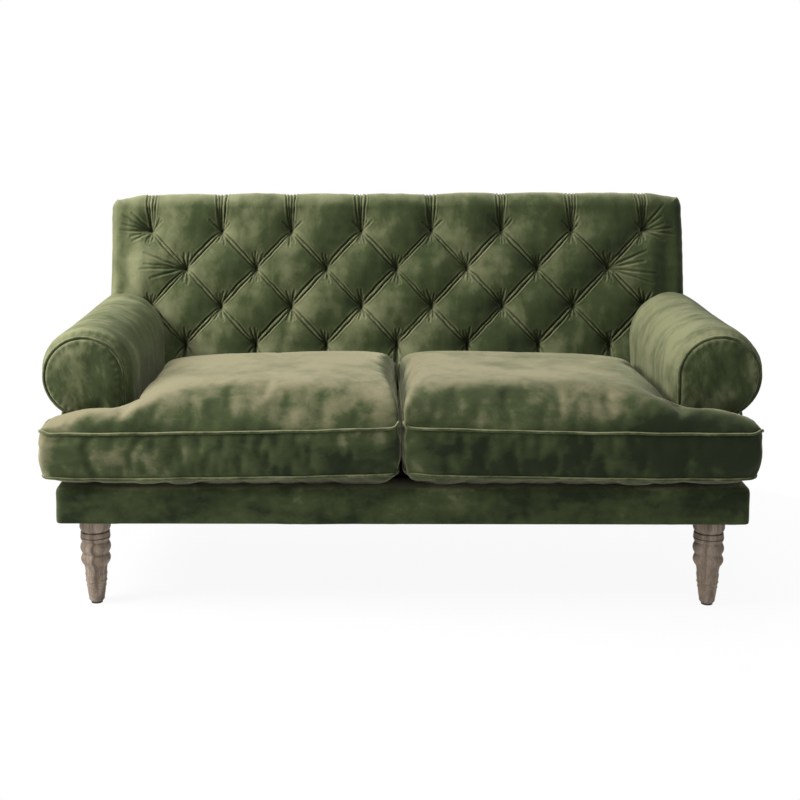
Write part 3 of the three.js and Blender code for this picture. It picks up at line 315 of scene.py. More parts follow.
def velvet(name, stroke_size=0.16, stroke_stretch=(1, 1, 1), turn=(0, 0, 0), marks=0.55, lightness=0.5, painted_top_light=0.35,
           painted_left_light=0.3, painted_light_across=0.0, painted_light_at_ends=0.0, painted_fold_shade=False, bloom=0.7, palest=pale_green):
    """marks says how strong the strokes are and lightness how pale the cloth is. The settings after lightness paint
    light and shade into the colour, in this order: what faces up paler, a painted highlight from above; what faces
    the sofa's left paler and what faces its right darker, painted light from the left; the whole cloth paler towards
    the left end and darker towards the right one, and the same near the two ends alone, both painted light from the
    left; and, if asked, the back's folds darker as painted shade and the strips between them paler as painted
    highlight."""
    material, tree, shader, place = start_material(name, roughness=0.88, Sheen_Weight=bloom, Sheen_Roughness=0.42,
                                                   Sheen_Tint=pile_sheen, Specular_IOR_Level=0.12)
    along = stretched(tree, place, stroke_stretch, turn)
    broad = noise(tree, along, 1 / stroke_size, detail=2, roughness=0.45, distortion=0.5)
    broken = noise(tree, along, 4.5 / stroke_size, detail=5, roughness=0.62, distortion=0.3)
    tone = maths(tree, "MULTIPLY_ADD", maths(tree, "SUBTRACT", broad, 0.5), broad_share * marks, lightness)
    tone = maths(tree, "MULTIPLY_ADD", maths(tree, "SUBTRACT", broken, 0.5), broken_share * marks, tone)
    swept = stretched(tree, along, (1.5, 1, 0.8))
    brushed = noise(tree, swept, 2.1 / stroke_size, detail=6, roughness=0.66, distortion=0.25)
    edge = node(tree, "ShaderNodeMapRange", {"Value": brushed, "From Min": 0.36, "From Max": 0.58})
    edge.interpolation_type = "SMOOTHSTEP"
    brushed_over = maths(tree, "SUBTRACT", edge.outputs["Result"], 0.6)
    tone = maths(tree, "MULTIPLY_ADD", brushed_over, brushed_share * marks, tone)
    # Painted light from the left: what faces the sofa's left is painted paler, what faces its right darker.
    facing = node(tree, "ShaderNodeSeparateXYZ", {"Vector": node(tree, "ShaderNodeTexCoord").outputs["Normal"]})
    sideways = maths(tree, "MINIMUM", maths(tree, "MAXIMUM", facing.outputs["X"], -most_left), most_right)
    tone = maths(tree, "MULTIPLY_ADD", sideways, -painted_left_light, tone)
    # Painted light from the left: paler towards the left end and darker towards the right, across the whole piece and
    # once more near its two ends.
    across = node(tree, "ShaderNodeSeparateXYZ", {"Vector": place}).outputs["X"]
    tone = maths(tree, "MULTIPLY_ADD", across, -painted_light_across, tone)
    painted_end_light = maths(tree, "MULTIPLY", maths(tree, "MULTIPLY", across, across), across)
    tone = maths(tree, "MULTIPLY_ADD", painted_end_light, -painted_light_at_ends, tone)
    # Painted highlight from above: the more a point faces up, the paler its colour is painted.
    upwards = maths(tree, "POWER", maths(tree, "MAXIMUM", facing.outputs["Z"], 0.0), 1.8)
    tone = maths(tree, "MULTIPLY_ADD", upwards, painted_top_light, tone, clamp=True)
    # The pale end of this ramp is reached mostly where light is painted in: tops, left-facing sides and the left end.
    colour = ramp(tree, tone, (0.08, deep_green), (0.48, moss_green), (0.98, palest))
    grain = noise(tree, place, 1 / grain_size, detail=2, roughness=0.7)
    colour = blended(tree, 0.22, colour, ramp(tree, grain, (0.3, 0.25), (0.7, 0.85)), "OVERLAY")
    # Painted shade and highlight of the back's folds: the crease attribute paints the grooves darker and the raised
    # strips paler.
    if painted_fold_shade:
        crease = node(tree, "ShaderNodeAttribute", attribute_name="crease").outputs["Fac"]
        colour = blended(tree, maths(tree, "MULTIPLY", crease, 0.75, clamp=True), colour, from_srgb(20, 26, 14))
        colour = blended(tree, maths(tree, "MULTIPLY", crease, -0.9, clamp=True), colour, pale_green)
    tree.links.new(colour, shader.inputs["Base Color"])
    ripple = noise(tree, along, 1 / ripple_size, detail=3, roughness=0.6)
    height = maths(tree, "MULTIPLY_ADD", ripple, 0.6, grain)
    add_bump(tree, shader, height, 0.35, 0.0012)
    return material


# Each copy has its own lightness. Besides the nap of each panel, this also holds painted light and shade: the arms are
# set paler to lift their shaded inner walls, and the cushions darker so that their forward-facing boxing stays dark.
back_velvet = velvet("velvet_back", stroke_size=0.11, marks=0.3, lightness=0.46, painted_top_light=0.35, painted_left_light=0.45,
                     painted_light_across=0.16, painted_fold_shade=True, bloom=0.5)
arm_velvet = velvet("velvet_arm", 0.075, (0.7, 1.8, 0.8), (0.2, 0.5, 0.3), marks=0.36, lightness=0.60,
                    painted_top_light=0.14, painted_left_light=0.46, bloom=0.18)
cushion_velvet = velvet("velvet_cushion", 0.17, (0.8, 1, 1.6), marks=0.5, lightness=0.21, painted_top_light=0.69,
                        painted_left_light=0.5, painted_light_across=0.13, painted_light_at_ends=0.6, bloom=0.6, palest=seat_beige)
front_velvet = velvet("velvet_front", 0.12, (0.8, 1, 1.5), marks=0.45, lightness=0.27, painted_top_light=0.5,
                      painted_left_light=0.35, bloom=0.5)
facing_velvet = velvet("velvet_facing", 0.075, (1.3, 1, 0.8), (0, 0.6, 0), marks=0.4, lightness=0.51)
welt_velvet = velvet("velvet_welt", 0.05, marks=0.4, lightness=0.45, painted_top_light=0.5)
arm_welt_velvet = velvet("velvet_arm_welt", 0.05, marks=0.3, lightness=0.34, painted_top_light=0.3)
panel_velvet = velvet("velvet_panel", 0.2, (1, 1, 0.8), marks=0.45, lightness=0.38)
print("velvets:", [m.name for m in bpy.data.materials if m.name.startswith("velvet")])

# %% [markdown]
# ## The diamond-tufted back
# The back is one stuffed pad whose cover is pulled through to the webbing at blind tufts, without buttons, four
# rows of them set in diamonds. Between two tufts the spare cloth is folded under itself into a pleat, which
# shows as two close dark lines with a narrow strip between them. Above the top row and below the bottom row the
# pleats run straight, and round every tuft the cloth gathers in short rays.
# A cloth simulation would need the cut of the real cover to fold like this. The folds follow a rule, so we write
# the rule down as a height over the flat pad: pillows between the tufts, and a groove for each line of a fold.

# %% Sizes of the back
recline = math.radians(13.7)
back_foot = Vector((0, 0.114, 0.280))       # where the padding's own frame stands
tuft_columns, tuft_rows = 8, 4
outer_tuft, row_pitch, tuft_depth = 0.635, 0.098, 0.038
tuft_pitch = 2 * outer_tuft / (tuft_columns - 1)
pad_half, pad_low, pad_high = 0.742, 0.017, 0.6165
pad_edge, pad_rear, border_stand = 0.038, 0.1571, 0.030
top_margin = 0.100
top_row = pad_high - top_margin
bottom_row = top_row - row_pitch * (tuft_rows - 1)


def lean_back(points):
    """From the back's own frame (x, depth, height along the back) to the sofa's."""
    x, y, w = np.asarray(points).T
    return np.stack([
        x,
        back_foot.y + y * math.cos(recline) + w * math.sin(recline),
        back_foot.z - y * math.sin(recline) + w * math.cos(recline),
    ], axis=-1)


def tuft_places():
    """(x, w, row) of every blind tuft; every second row is half a pitch over and has one tuft fewer."""
    places = []
    for row in range(tuft_rows):
        count = tuft_columns - row % 2
        for k in range(count):
            places.append(((k - (count - 1) / 2) * tuft_pitch, top_row - row * row_pitch, row))
    return places


print(len(tuft_places()), "tufts")

# %% The pillows between the tufts
side_band = 0.062       # width over which the outermost pillows pass into the plain side border


def pillow_stand(x, w):
    """How far the padding stands in front of the bottom of the tufts: full pillows, flatter ones, and pleats."""
    across = np.clip(x, -outer_tuft, outer_tuft) / tuft_pitch
    down = (top_row - np.clip(w, bottom_row, top_row)) / (2 * row_pitch)
    rise, fall = np.abs(np.cos(np.pi * (across + down))), np.abs(np.cos(np.pi * (across - down)))
    stand = 0.60 * ((rise ** 4 + fall ** 4) / 2) ** 0.11 + 0.40 * (rise * fall) ** 0.33
    past = np.maximum(np.maximum((w - top_row) / top_margin, (bottom_row - w) / row_pitch), 0)
    pleated = 0.84 + 0.16 * rise
    stand = tuft_depth * (stand + (pleated - stand) * smoothstep(past, 0, 0.8))
    return stand + (border_stand - stand) * smoothstep(np.abs(x) - outer_tuft, 0, side_band)


# %% The folds and gathers
pleat_bow, pleat_depth, pleat_width = 0.0046, 0.0052, 0.0017      # each of the two lines of a pleat
strip_rise, strip_width = 0.0050, 0.0030                          # the narrow strip between them
gather_angles_above, gather_angles_above_top_row = (-31, -15, -2, 12, 28), (-44, 30, 48)
gather_angles_below, gather_angles_below_last_row = (163, 176, 189, 201), (148, 212)
top_pleats, foot_pleats = (-0.0125, -0.0045, 0.0035, 0.0115), (-0.007, 0.006)
side_gathers, corner_gathers = (70, 82, 94, 106), (44, 58, 72, 86, 100, 114)


def fold_lines():
    """Every crease of the cover as (points along it, depth at its two ends, width). A ridge has a depth below 0."""
    rng = np.random.default_rng(8)
    tufts = tuft_places()
    share = np.linspace(0, 1, 9)
    lines = []

    def crease(start, end, bow, deep_start, deep_end, width):
        start, run = np.array(start), np.subtract(end, start)
        beside = np.array([-run[1], run[0]]) / np.linalg.norm(run)
        out = bow * np.sin(np.pi * share) ** 0.4 + 0.0006 * rng.normal(size=9) * np.sin(np.pi * share)
        lines.append((start + np.outer(share, run) + np.outer(out, beside), deep_start, deep_end, width))

    def gather(x, w, angle, reach, depth=0.0070, width=0.0021):
        turn = math.radians(angle + rng.uniform(-4, 4))
        way = np.array([math.sin(turn), math.cos(turn)])
        crease(way * 0.002 + (x, w), way * reach + (x, w), rng.uniform(-0.0016, 0.0016), depth, depth * 0.22, width)

    for x, w, row in tufts:
        for other_x, other_w, other_row in tufts:
            if other_row == row + 1 and abs(abs(other_x - x) - tuft_pitch / 2) < 0.01:
                for side in (-1, 1):
                    bow = side * pleat_bow * rng.uniform(0.7, 1.35)
                    crease((x, w), (other_x, other_w), bow, pleat_depth, pleat_depth, pleat_width)
                crease((x, w), (other_x, other_w), 0, -strip_rise, -strip_rise, strip_width)
        for angle in gather_angles_above if row else gather_angles_above_top_row:
            gather(x, w, angle, rng.uniform(0.026, 0.044))
        for angle in gather_angles_below if row < tuft_rows - 1 else gather_angles_below_last_row:
            gather(x, w, angle, rng.uniform(0.022, 0.042))
        if row == 0:
            for offset in top_pleats:
                spread = offset + rng.uniform(-0.0018, 0.0018)
                crease((x + spread * 0.15, w), (x + spread, pad_high + 0.05), -0.4 * spread, 0.0060, 0.0026, 0.0018)
        if row == tuft_rows - 1:
            for offset in foot_pleats:
                crease((x + offset * 0.3, w), (x + offset, pad_low), 0, 0.0062, 0.0045, 0.0024)
        if row < tuft_rows - 1 and abs(x) > outer_tuft - tuft_pitch * 0.6:
            side = math.copysign(1, x)
            for angle in corner_gathers if row == 0 else side_gathers:
                reach = rng.uniform(0.055, 0.095) if row == 0 else rng.uniform(0.085, 0.13)
                gather(x, w, side * angle, reach, 0.0056, 0.0026)
    return lines


def folded(x, w):
    """The depth of all folds at points of the unrolled cover, and how far each point lies in a crease, from -0.5 on a
    raised strip to 1 in a groove; the back's velvet paints this as shade in the grooves and as highlight on the
    strips.
    """
    groove, ridge = np.zeros_like(x), np.zeros_like(x)
    for path, deep_start, deep_end, width in fold_lines():
        reach = 4 * abs(width)
        low, high = path.min(axis=0) - reach, path.max(axis=0) + reach
        near = (x > low[0]) & (x < high[0]) & (w > low[1]) & (w < high[1])
        if not near.any():
            continue
        px, pw = x[near], w[near]
        best, along = np.full(px.shape, np.inf), np.zeros(px.shape)
        for k, (start, end) in enumerate(zip(path, path[1:])):
            run = end - start
            t = np.clip(((px - start[0]) * run[0] + (pw - start[1]) * run[1]) / (run @ run), 0, 1)
            away = np.hypot(px - start[0] - t * run[0], pw - start[1] - t * run[1])
            closer = away < best
            best[closer], along[closer] = away[closer], ((k + t) / (len(path) - 1))[closer]
        deep = deep_start + (deep_end - deep_start) * along
        if deep_start > 0:
            groove[near] = np.maximum(groove[near], deep * np.exp(-(best / width) ** 2))
            ridge[near] = np.minimum(ridge[near], -0.34 * deep * np.exp(-((best / width - 2.1) / 0.9) ** 2))
        else:
            ridge[near] = np.minimum(ridge[near], deep * np.exp(-(best / width) ** 2))
    return groove + ridge, np.clip((groove + 0.6 * ridge) / 0.0060, -0.5, 1)


print(len(fold_lines()), "fold lines")

# %% Build the back pad
corner_bulge, corner_x, corner_width = 0.007, 0.70, 0.038
border_dip, border_from = 0.014, 0.650
pit_depth, pit_radius = 0.007, 0.0065
rear_rings = (0.12, 0.3, 0.55, 0.8, 1.0)


def build_back_pad(step):
    """The pad as a grid, finer across than upwards, because most creases run up and down."""
    arc_x, arc_w = pad_half - pad_edge, pad_high - pad_edge
    quarter = np.linspace(0, np.pi / 2, 13)[1:]
    flat_x = np.linspace(-arc_x, arc_x, round(2 * arc_x / (0.84 * step)) + 1)
    flat_w = np.linspace(pad_low, arc_w, round((arc_w - pad_low) / (1.05 * step)) + 1)
    turn_x = np.concatenate([-quarter[::-1], np.zeros(len(flat_x)), quarter])
    turn_w = np.concatenate([np.zeros(len(flat_w)), quarter])
    line_x = np.concatenate([np.full(12, -arc_x), flat_x, np.full(12, arc_x)])
    line_w = np.concatenate([flat_w, np.full(12, arc_w)])
    columns = len(line_x)
    rows = len(line_w)
    tx, tw = np.meshgrid(turn_x, turn_w)
    x, w = np.meshgrid(line_x, line_w)
    dx, dw = np.sin(tx), np.sin(tw)
    turned = np.maximum(np.abs(dx), dw)
    pull = np.where((dx != 0) & (dw > 0), turned / np.maximum(np.hypot(dx, dw), 1e-9), 1)
    dx, dw = dx * pull, dw * pull
    outwards = np.stack([dx, -np.sqrt(np.clip(1 - turned ** 2, 0, 1)), dw], axis=-1)
    centre = np.stack([x, np.full_like(x, pad_edge - border_stand), w], axis=-1)
    base = centre + pad_edge * outwards

    unrolled_x, unrolled_w = x + tx * pad_edge, w + tw * pad_edge
    raised = pillow_stand(x, w) - border_stand
    raised *= 1 - 0.65 * smoothstep(np.maximum(np.abs(tx), tw), 0, np.pi / 2)
    corner = np.exp(-((np.abs(unrolled_x) - corner_x) / corner_width) ** 2) * smoothstep(unrolled_w, top_row, pad_high)
    raised += corner_bulge * corner
    side_border = np.clip((np.abs(unrolled_x) - border_from) / (arc_x + pad_edge * np.pi / 2 - border_from), 0, 1)
    raised -= border_dip * np.sin(np.pi * side_border) ** 2
    depth, painted_fold_shade = folded(unrolled_x, unrolled_w)
    raised -= depth
    for tuft_x, tuft_w, _ in tuft_places():
        away = (unrolled_x - tuft_x) ** 2 + (unrolled_w - tuft_w) ** 2
        raised -= pit_depth * np.exp(-away / pit_radius ** 2)
    soft = np.stack([unrolled_x, unrolled_w, unrolled_w * 0], axis=-1).reshape(-1, 3)
    pillows = np.clip(pillow_stand(x, w) / tuft_depth, 0, 1)
    raised += (0.0016 * smooth_noise(soft, 0.13, 3) + 0.0006 * smooth_noise(soft, 0.035, 4)).reshape(x.shape) * pillows
    front = (base + raised[..., None] * outwards).reshape(-1, 3)

    edge = [j * columns for j in range(rows)][::-1] + list(range(1, columns))
    edge += [j * columns + columns - 1 for j in range(1, rows)]
    edge += [(rows - 1) * columns + i for i in range(columns - 2, 0, -1)]
    flat_edge, edge_lift = base.reshape(-1, 3)[edge], (front - base.reshape(-1, 3))[edge]
    points, faces, ring = [front], grid_faces(columns, rows), edge
    for share in rear_rings:
        placed = flat_edge + edge_lift * (1 - share) ** 2
        placed[:, 1] = flat_edge[:, 1] + (pad_rear - flat_edge[:, 1]) * share
        start = sum(len(p) for p in points)
        points.append(placed)
        new_ring = list(range(start, start + len(edge)))
        count = len(edge)
        faces += [[ring[k], ring[(k + 1) % count], new_ring[(k + 1) % count], new_ring[k]] for k in range(count)]
        ring = new_ring
    faces.append(ring[::-1])
    points = np.concatenate(points)
    # The crease share goes onto the mesh, for the painted shade in the grooves and the painted highlight on the
    # strips.
    dark = np.zeros(len(points))
    dark[:painted_fold_shade.size] = painted_fold_shade.ravel()
    return mesh_from("tufted_back", lean_back(points), faces, 180, crease=dark)


tufted_back = build_back_pad(0.0025)
finish_with(back_velvet, tufted_back)
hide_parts("back_pad")
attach(tufted_back, "sofa")
print("tufted back:", len(tufted_back.data.polygons), "faces")

# %% [markdown]
# ## The seat cushions
# Two loose cushions fill the seat. Each is T-shaped: an ear passes in front of the arm. A top and a bottom panel
# are sewn to an upright strip, the boxing, and the seams hold while the filling swells the panels into a crown.
# We draw the sewn cover as a grid of squares a little smaller than the stuffed cushion, pin its two seams, and
# let a cloth simulation blow it up with pressure. The cloth grows a little as well, so that it puckers along
# the seams as velvet does. How far a point may move is capped, so that the cushion stays clear of the arms.

# %% Plan of a cushion
fit_gap, welt_radius = 0.0003, 0.004
front_y, rear_y = -0.430, 0.430
cushion_end, arm_front_face, cushion_rear = 0.800, -0.3195, 0.0800
seam_inset = 2 * welt_radius + fit_gap
seam_x, ear_x = seam_inset + fit_gap, cushion_end - seam_inset
near_y, ear_y = front_y + seam_inset, arm_front_face - seam_inset
far_y = cushion_rear - seam_inset
deck_top = 0.2803
bottom_seam, boxing_height, seam_lift = 0.301, 0.106, 0.014
zip_start, zip_end, zip_y, zip_z = 0.106, 0.480, 0.0766, 0.3584
crown_height, crown_reach, crown_power = 0.076, 0.105, 0.42
cushion_corner, ear_corner, inner_corner, side_clearance = 0.036, 0.017, 0.005, 0.002
roll_radius, roll_swell = 0.094, 0.012
roll_from_y, roll_front_x, roll_front_z, roll_inwards, roll_upwards = -0.2577, 0.713, 0.511, 0.024, 0.019


def roll_share(y):
    """The arm's roll leans inwards and rises a little from its front to its rear; this says how far along y is."""
    return (y - roll_from_y) / (rear_y - roll_from_y)


def roll_x(y):
    return roll_front_x - roll_inwards * roll_share(y)


def roll_z(y):
    return roll_front_z + roll_upwards * roll_share(y)


def arm_wall_x(y):
    return roll_x(y) - roll_radius - roll_swell


def cushion_side(y):
    return arm_wall_x(y) - side_clearance - seam_inset


def top_seam(x):
    """The seams stand higher beside the other cushion than at the outer end."""
    nearness = (ear_x - x) / (ear_x - seam_x)
    return bottom_seam + boxing_height + seam_lift * nearness ** 2


def low_seam(x):
    return bottom_seam + 0.004 + 0.7 * (top_seam(x) - bottom_seam - boxing_height)


def leaning(y, z):
    """The rear of the cushion follows the slope of the back, the front stands upright."""
    share = np.clip(y - near_y, 0, None) / (far_y - near_y)
    return y + (z - bottom_seam) * math.tan(recline) * share ** 2


print("cushion plan", round(ear_x - seam_x, 3), "by", round(far_y - near_y, 3))

# %% The sewn cover
short_ear = {"left": -0.001, "right": 0.008}        # the right cushion is pushed in a little
boxing_swell = {"left": 0.006, "right": 0.002}
low_corner_draw = {"left": 0.35, "right": 1.0}


def cover_grid(step):
    """Plan points of the top panel, as {(i, j): (x, y)}, and its cells."""
    r, body = cushion_corner, cushion_side(ear_y)

    def spaced(low, high, near_edge):
        """Even lines, with one more close to the edge of the cushion, where the panels turn down steeply."""
        line = np.linspace(low, high, max(2, round((high - low) / step)) + 1)
        return np.sort(np.append(line, low + 0.35 * step if near_edge == "low" else high - 0.35 * step))

    xs = np.concatenate([spaced(seam_x, body, "low"), spaced(body, ear_x, "high")[1:]])
    ys = np.concatenate([spaced(near_y, ear_y, "low"), spaced(ear_y, far_y, "high")[1:]])
    side_column = int(np.argmin(np.abs(xs - body)))
    ear_row = int(np.argmin(np.abs(ys - ear_y)))

    def rounded(x, y, cx, cy, turn_x, turn_y):
        """Pulls a point of a square corner in to the round one about (cx, cy); None outside that corner."""
        dx, dy = (x - cx) * turn_x, (y - cy) * turn_y
        if dx <= 0 or dy <= 0:
            return None
        pull = max(dx, dy) / math.hypot(dx, dy)
        return cx + dx * pull * turn_x, cy + dy * pull * turn_y

    places = {}
    for i, line in enumerate(xs):
        for j, y in enumerate(ys):
            past_ear = j > ear_row
            if past_ear and i > side_column:
                continue
            x = seam_x + (line - seam_x) * (cushion_side(y) - seam_x) / (body - seam_x) if past_ear else line
            corners = [(seam_x + inner_corner, near_y + inner_corner, -1, -1),
                       (ear_x - ear_corner, near_y + ear_corner, 1, -1), (seam_x + r, far_y - r, -1, 1)]
            if past_ear:
                corners.append((cushion_side(far_y) - r, far_y - r, 1, 1))
            else:
                corners.append((ear_x - r, ear_y - r, 1, 1))
            found = [p for p in (rounded(x, y, *corner) for corner in corners) if p]
            places[i, j] = found[0] if found else (x, y)
    cells = [(i, j) for i, j in places if {(i + 1, j), (i, j + 1), (i + 1, j + 1)} <= set(places)]
    return places, cells


def edge_distance(points):
    """Smoothed distance of plan points to the outline, so that no ridge forms between two edges. The sides that
    press against the arm and the other cushion count as further away, because the filling stands full there."""
    outline = np.array([(seam_x, near_y), (ear_x, near_y), (ear_x, ear_y), (cushion_side(ear_y), ear_y),
                        (cushion_side(far_y), far_y), (seam_x, far_y)])
    fuller = (1, 1, 1, 1.5, 1, 2.5)
    total = np.zeros(len(points))
    for start, end, full in zip(outline, np.roll(outline, -1, axis=0), fuller):
        run = end - start
        share = np.clip(((points - start) @ run) / (run @ run), 0, 1)
        away = np.linalg.norm(points - start - share[:, None] * run, axis=1)
        total += 1 / np.maximum(away * full, fit_gap) ** 2
    return np.maximum(1 / np.sqrt(total) - fit_gap, 0)


def puff(distance, reach):
    return 1 - (1 - np.minimum(distance / reach, 1)) ** 2


def ear_slope(x):
    """The ear in front of the arm is full beside the arm and thins towards its end."""
    share = (x - cushion_side(ear_y)) / (ear_x - cushion_side(ear_y))
    thinner = 0.14 * smoothstep(share, -0.15, 0.1) + 0.10 * smoothstep(share, 0.1, 0.45)
    return 1 - (thinner + 0.34 * smoothstep(share, 0.35, 1))


def near_low_corners(plan):
    """How near plan points are to the two lower front corners, which round off, and the way they are drawn in."""
    outer = np.exp(-(np.hypot(plan[:, 0] - ear_x, plan[:, 1] - near_y) / 0.050) ** 2)
    inner = np.exp(-(np.hypot(plan[:, 0] - seam_x, plan[:, 1] - near_y) / 0.045) ** 2)
    drawn_in = np.column_stack([0.004 * inner - 0.010 * outer, 0.004 * inner + 0.008 * outer])
    return outer + 0.6 * inner, drawn_in


def seam_loop(quads):
    """The outer edge of a panel as a loop of point numbers: it is made of the edges that only one square has."""
    following = {(quad[k], quad[(k + 1) % 4]): True for quad in quads for k in range(4)}
    step_to = {a: b for a, b in following if (b, a) not in following}
    start = next(iter(step_to))
    loop = [start]
    while step_to[loop[-1]] != start:
        loop.append(step_to[loop[-1]])
    return loop


fuller_at_arm, fuller_at_middle = 0.24, 0.16
spread_at_arm, spread_at_middle = 0.009, -0.007
under_reach, corner_rise = 0.075, 0.003


def sewn_cover(name, side, step):
    """The cover before it is stuffed; returns the object and its two seam loops."""
    places, cells = cover_grid(step)
    keys = list(places)
    number = {key: k for k, key in enumerate(keys)}
    plan = np.array([places[key] for key in keys])
    depth = edge_distance(plan)
    beside_arm = np.exp(-((cushion_side(plan[:, 1]) - plan[:, 0]) / 0.030) ** 2) * (plan[:, 1] > ear_y - 0.03)
    beside_other = np.exp(-((plan[:, 0] - seam_x) / 0.028) ** 2)
    crown = crown_height * puff(depth, crown_reach) ** crown_power * ear_slope(plan[:, 0])
    crown *= 1 + fuller_at_arm * beside_arm + fuller_at_middle * beside_other
    spread = (spread_at_arm * beside_arm + spread_at_middle * beside_other) * smoothstep(crown, 0, 0.03)
    nearness, drawn_in = near_low_corners(plan)
    drawn_in *= low_corner_draw[name]
    drop = (low_seam(plan[:, 0]) - deck_top - fit_gap) * puff(depth, under_reach)
    lower_plan = plan + drawn_in
    lower_height = low_seam(plan[:, 0]) + corner_rise * nearness - drop
    end_share = np.clip((plan[:, 0] - cushion_side(ear_y)) / (ear_x - cushion_side(ear_y)), 0, 1)
    for layer in (plan, lower_plan):
        layer[:, 0] -= short_ear[name] * end_share
    top = np.column_stack([plan[:, 0] + spread, plan[:, 1], top_seam(plan[:, 0]) + crown])
    under = np.column_stack([lower_plan, lower_height])
    quads = [[number[i, j], number[i + 1, j], number[i + 1, j + 1], number[i, j + 1]] for i, j in cells]
    loop = seam_loop(quads)
    outline, low_outline = plan[loop], lower_plan[loop]
    before, after = np.roll(outline, 1, axis=0), np.roll(outline, -1, axis=0)
    normal = np.column_stack([(after - before)[:, 1], (before - after)[:, 0]])
    normal /= np.linalg.norm(normal, axis=1)[:, None]
    points, faces = [top], list(quads)
    count, rows = len(loop), max(6, round(boxing_height / step))
    ring = list(loop)
    for k in range(1, rows):
        share = k / rows
        flat = outline + (low_outline - outline) * share ** 3 + normal * boxing_swell[name] * math.sin(math.pi * share)
        height = top_seam(outline[:, 0]) * (1 - share) + lower_height[loop] * share
        base = sum(len(p) for p in points)
        points.append(np.column_stack([flat, height]))
        new = list(range(base, base + count))
        faces += [[ring[(m + 1) % count], ring[m], new[m], new[(m + 1) % count]] for m in range(count)]
        ring = new
    base = sum(len(p) for p in points)
    points.append(under)
    low = [base + k for k in loop]
    faces += [[ring[(m + 1) % count], ring[m], low[m], low[(m + 1) % count]] for m in range(count)]
    faces += [[base + k for k in reversed(quad)] for quad in quads]
    cover = np.concatenate(points)
    cover[:, 1] = leaning(cover[:, 1], cover[:, 2])
    cover[:, 0] *= side
    if side < 0:
        faces = [face[::-1] for face in faces]
    mesh = bpy.data.meshes.new(name)
    mesh.from_pydata(cover.tolist(), [], faces)
    piece = add_object(f"seat_cushion_cover_{name}", mesh)
    return piece, loop, low, np.column_stack([normal[:, 0] * side, normal[:, 1]])


# %% Stuff the cover
stuffing_frames, most_swell = 20, 0.022


def stuff(piece, seams, cap, pressure=4.0, growth=0.024):
    """Blows the cover up between its pinned seams, and keeps every point within the cap of where it was."""
    pins = piece.vertex_groups.new(name="seams")
    pins.add(seams, 1.0, "REPLACE")
    before = points_of(piece.data)
    cloth = piece.modifiers.new("filling", "CLOTH")
    settings = cloth.settings
    settings.quality = 6
    settings.mass = 0.25
    settings.tension_stiffness = settings.compression_stiffness = 18
    settings.shear_stiffness = 6
    settings.bending_stiffness = 1.6
    settings.use_pressure = True
    settings.uniform_pressure_force = pressure
    settings.vertex_group_mass = "seams"
    settings.shrink_min = -growth
    settings.effector_weights.gravity = 0
    cloth.collision_settings.use_collision = False
    cloth.point_cache.frame_start, cloth.point_cache.frame_end = 1, stuffing_frames
    for number in range(1, stuffing_frames + 1):
        bpy.context.scene.frame_set(number)
    applied(piece)
    bpy.context.scene.frame_set(1)
    moved = points_of(piece.data) - before
    length = np.linalg.norm(moved, axis=1)
    kept = cap * np.tanh(length / cap)
    set_points(piece.data, before + moved * (kept / np.maximum(length, 1e-9))[:, None])
    print(piece.name, "swelled by up to", round(float(kept.max()) * 1000, 1), "mm")


half_gap, wall_gap = 0.0005, 0.0008
pillow_foot_y, border_lip_y = 0.0750, -0.409


def press_against_neighbours(mesh, side):
    """Flattens the cushion where it meets the other one, the arm, the arm's front, the back and the deck."""
    x, y, z = points_of(mesh).T
    x = np.maximum(x * side, half_gap)
    past_wall, past_front = x - (arm_wall_x(y) - wall_gap), y - arm_front_face - wall_gap
    in_arm = (past_wall > 0) & (past_front > 0)
    sideways = in_arm & (past_wall < past_front)
    x = np.where(sideways, x - past_wall, x)
    y = np.where(in_arm & ~sideways, y - past_front, y)
    y = np.minimum(y, pillow_foot_y + (z - back_foot.z) * math.tan(recline))
    along_zip = smoothstep(x, zip_start - 0.030, zip_start) * (1 - smoothstep(x, zip_end, zip_end + 0.030))
    along_zip *= 1 - smoothstep(np.abs(z - zip_z), 0.013, 0.036)
    y = np.where(y > zip_y, zip_y + (y - zip_y) * (1 - along_zip), y)
    z = np.where(y > border_lip_y, np.maximum(z, deck_top + fit_gap), z)
    set_points(mesh, np.column_stack([x * side, y, z]))


def build_cushion(name, side):
    step = 0.010
    cushion, top_loop, low_loop, outwards = sewn_cover(name, side, step)
    stuff(cushion, top_loop + low_loop, most_swell)
    mesh = cushion.data
    seams = [[np.array(mesh.vertices[k].co) for k in loop] for loop in (top_loop, low_loop)]
    smoother = cushion.modifiers.new("smooth", "SUBSURF")
    smoother.levels = smoother.render_levels = 1
    applied(cushion)
    press_against_neighbours(cushion.data, side)
    tidy_mesh(cushion.data)
    finish_shading(cushion, 180)
    return cushion, seams, outwards


cushion_seams = {}
for name, side in (("left", -1), ("right", 1)):
    cushion, seams, outwards = build_cushion(name, side)
    cushion_seams[name] = (cushion, seams, outwards)
    finish_with(cushion_velvet, cushion)
    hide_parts(f"seat_cushion_{name}")
    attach(cushion, f"seat_cushion_{name}")
    print(cushion.name, len(cushion.data.polygons), "faces")

# %% [markdown]
# ## Piping
# The seams of the cushions, the edge of each arm's round front and the edge of the outside back are trimmed with
# a welt: a cord wrapped in the same velvet and sewn into the seam. It is a round section that follows a path, so
# one small node tree makes all of it: it takes the path as a chain of edges and sweeps a circle along it.

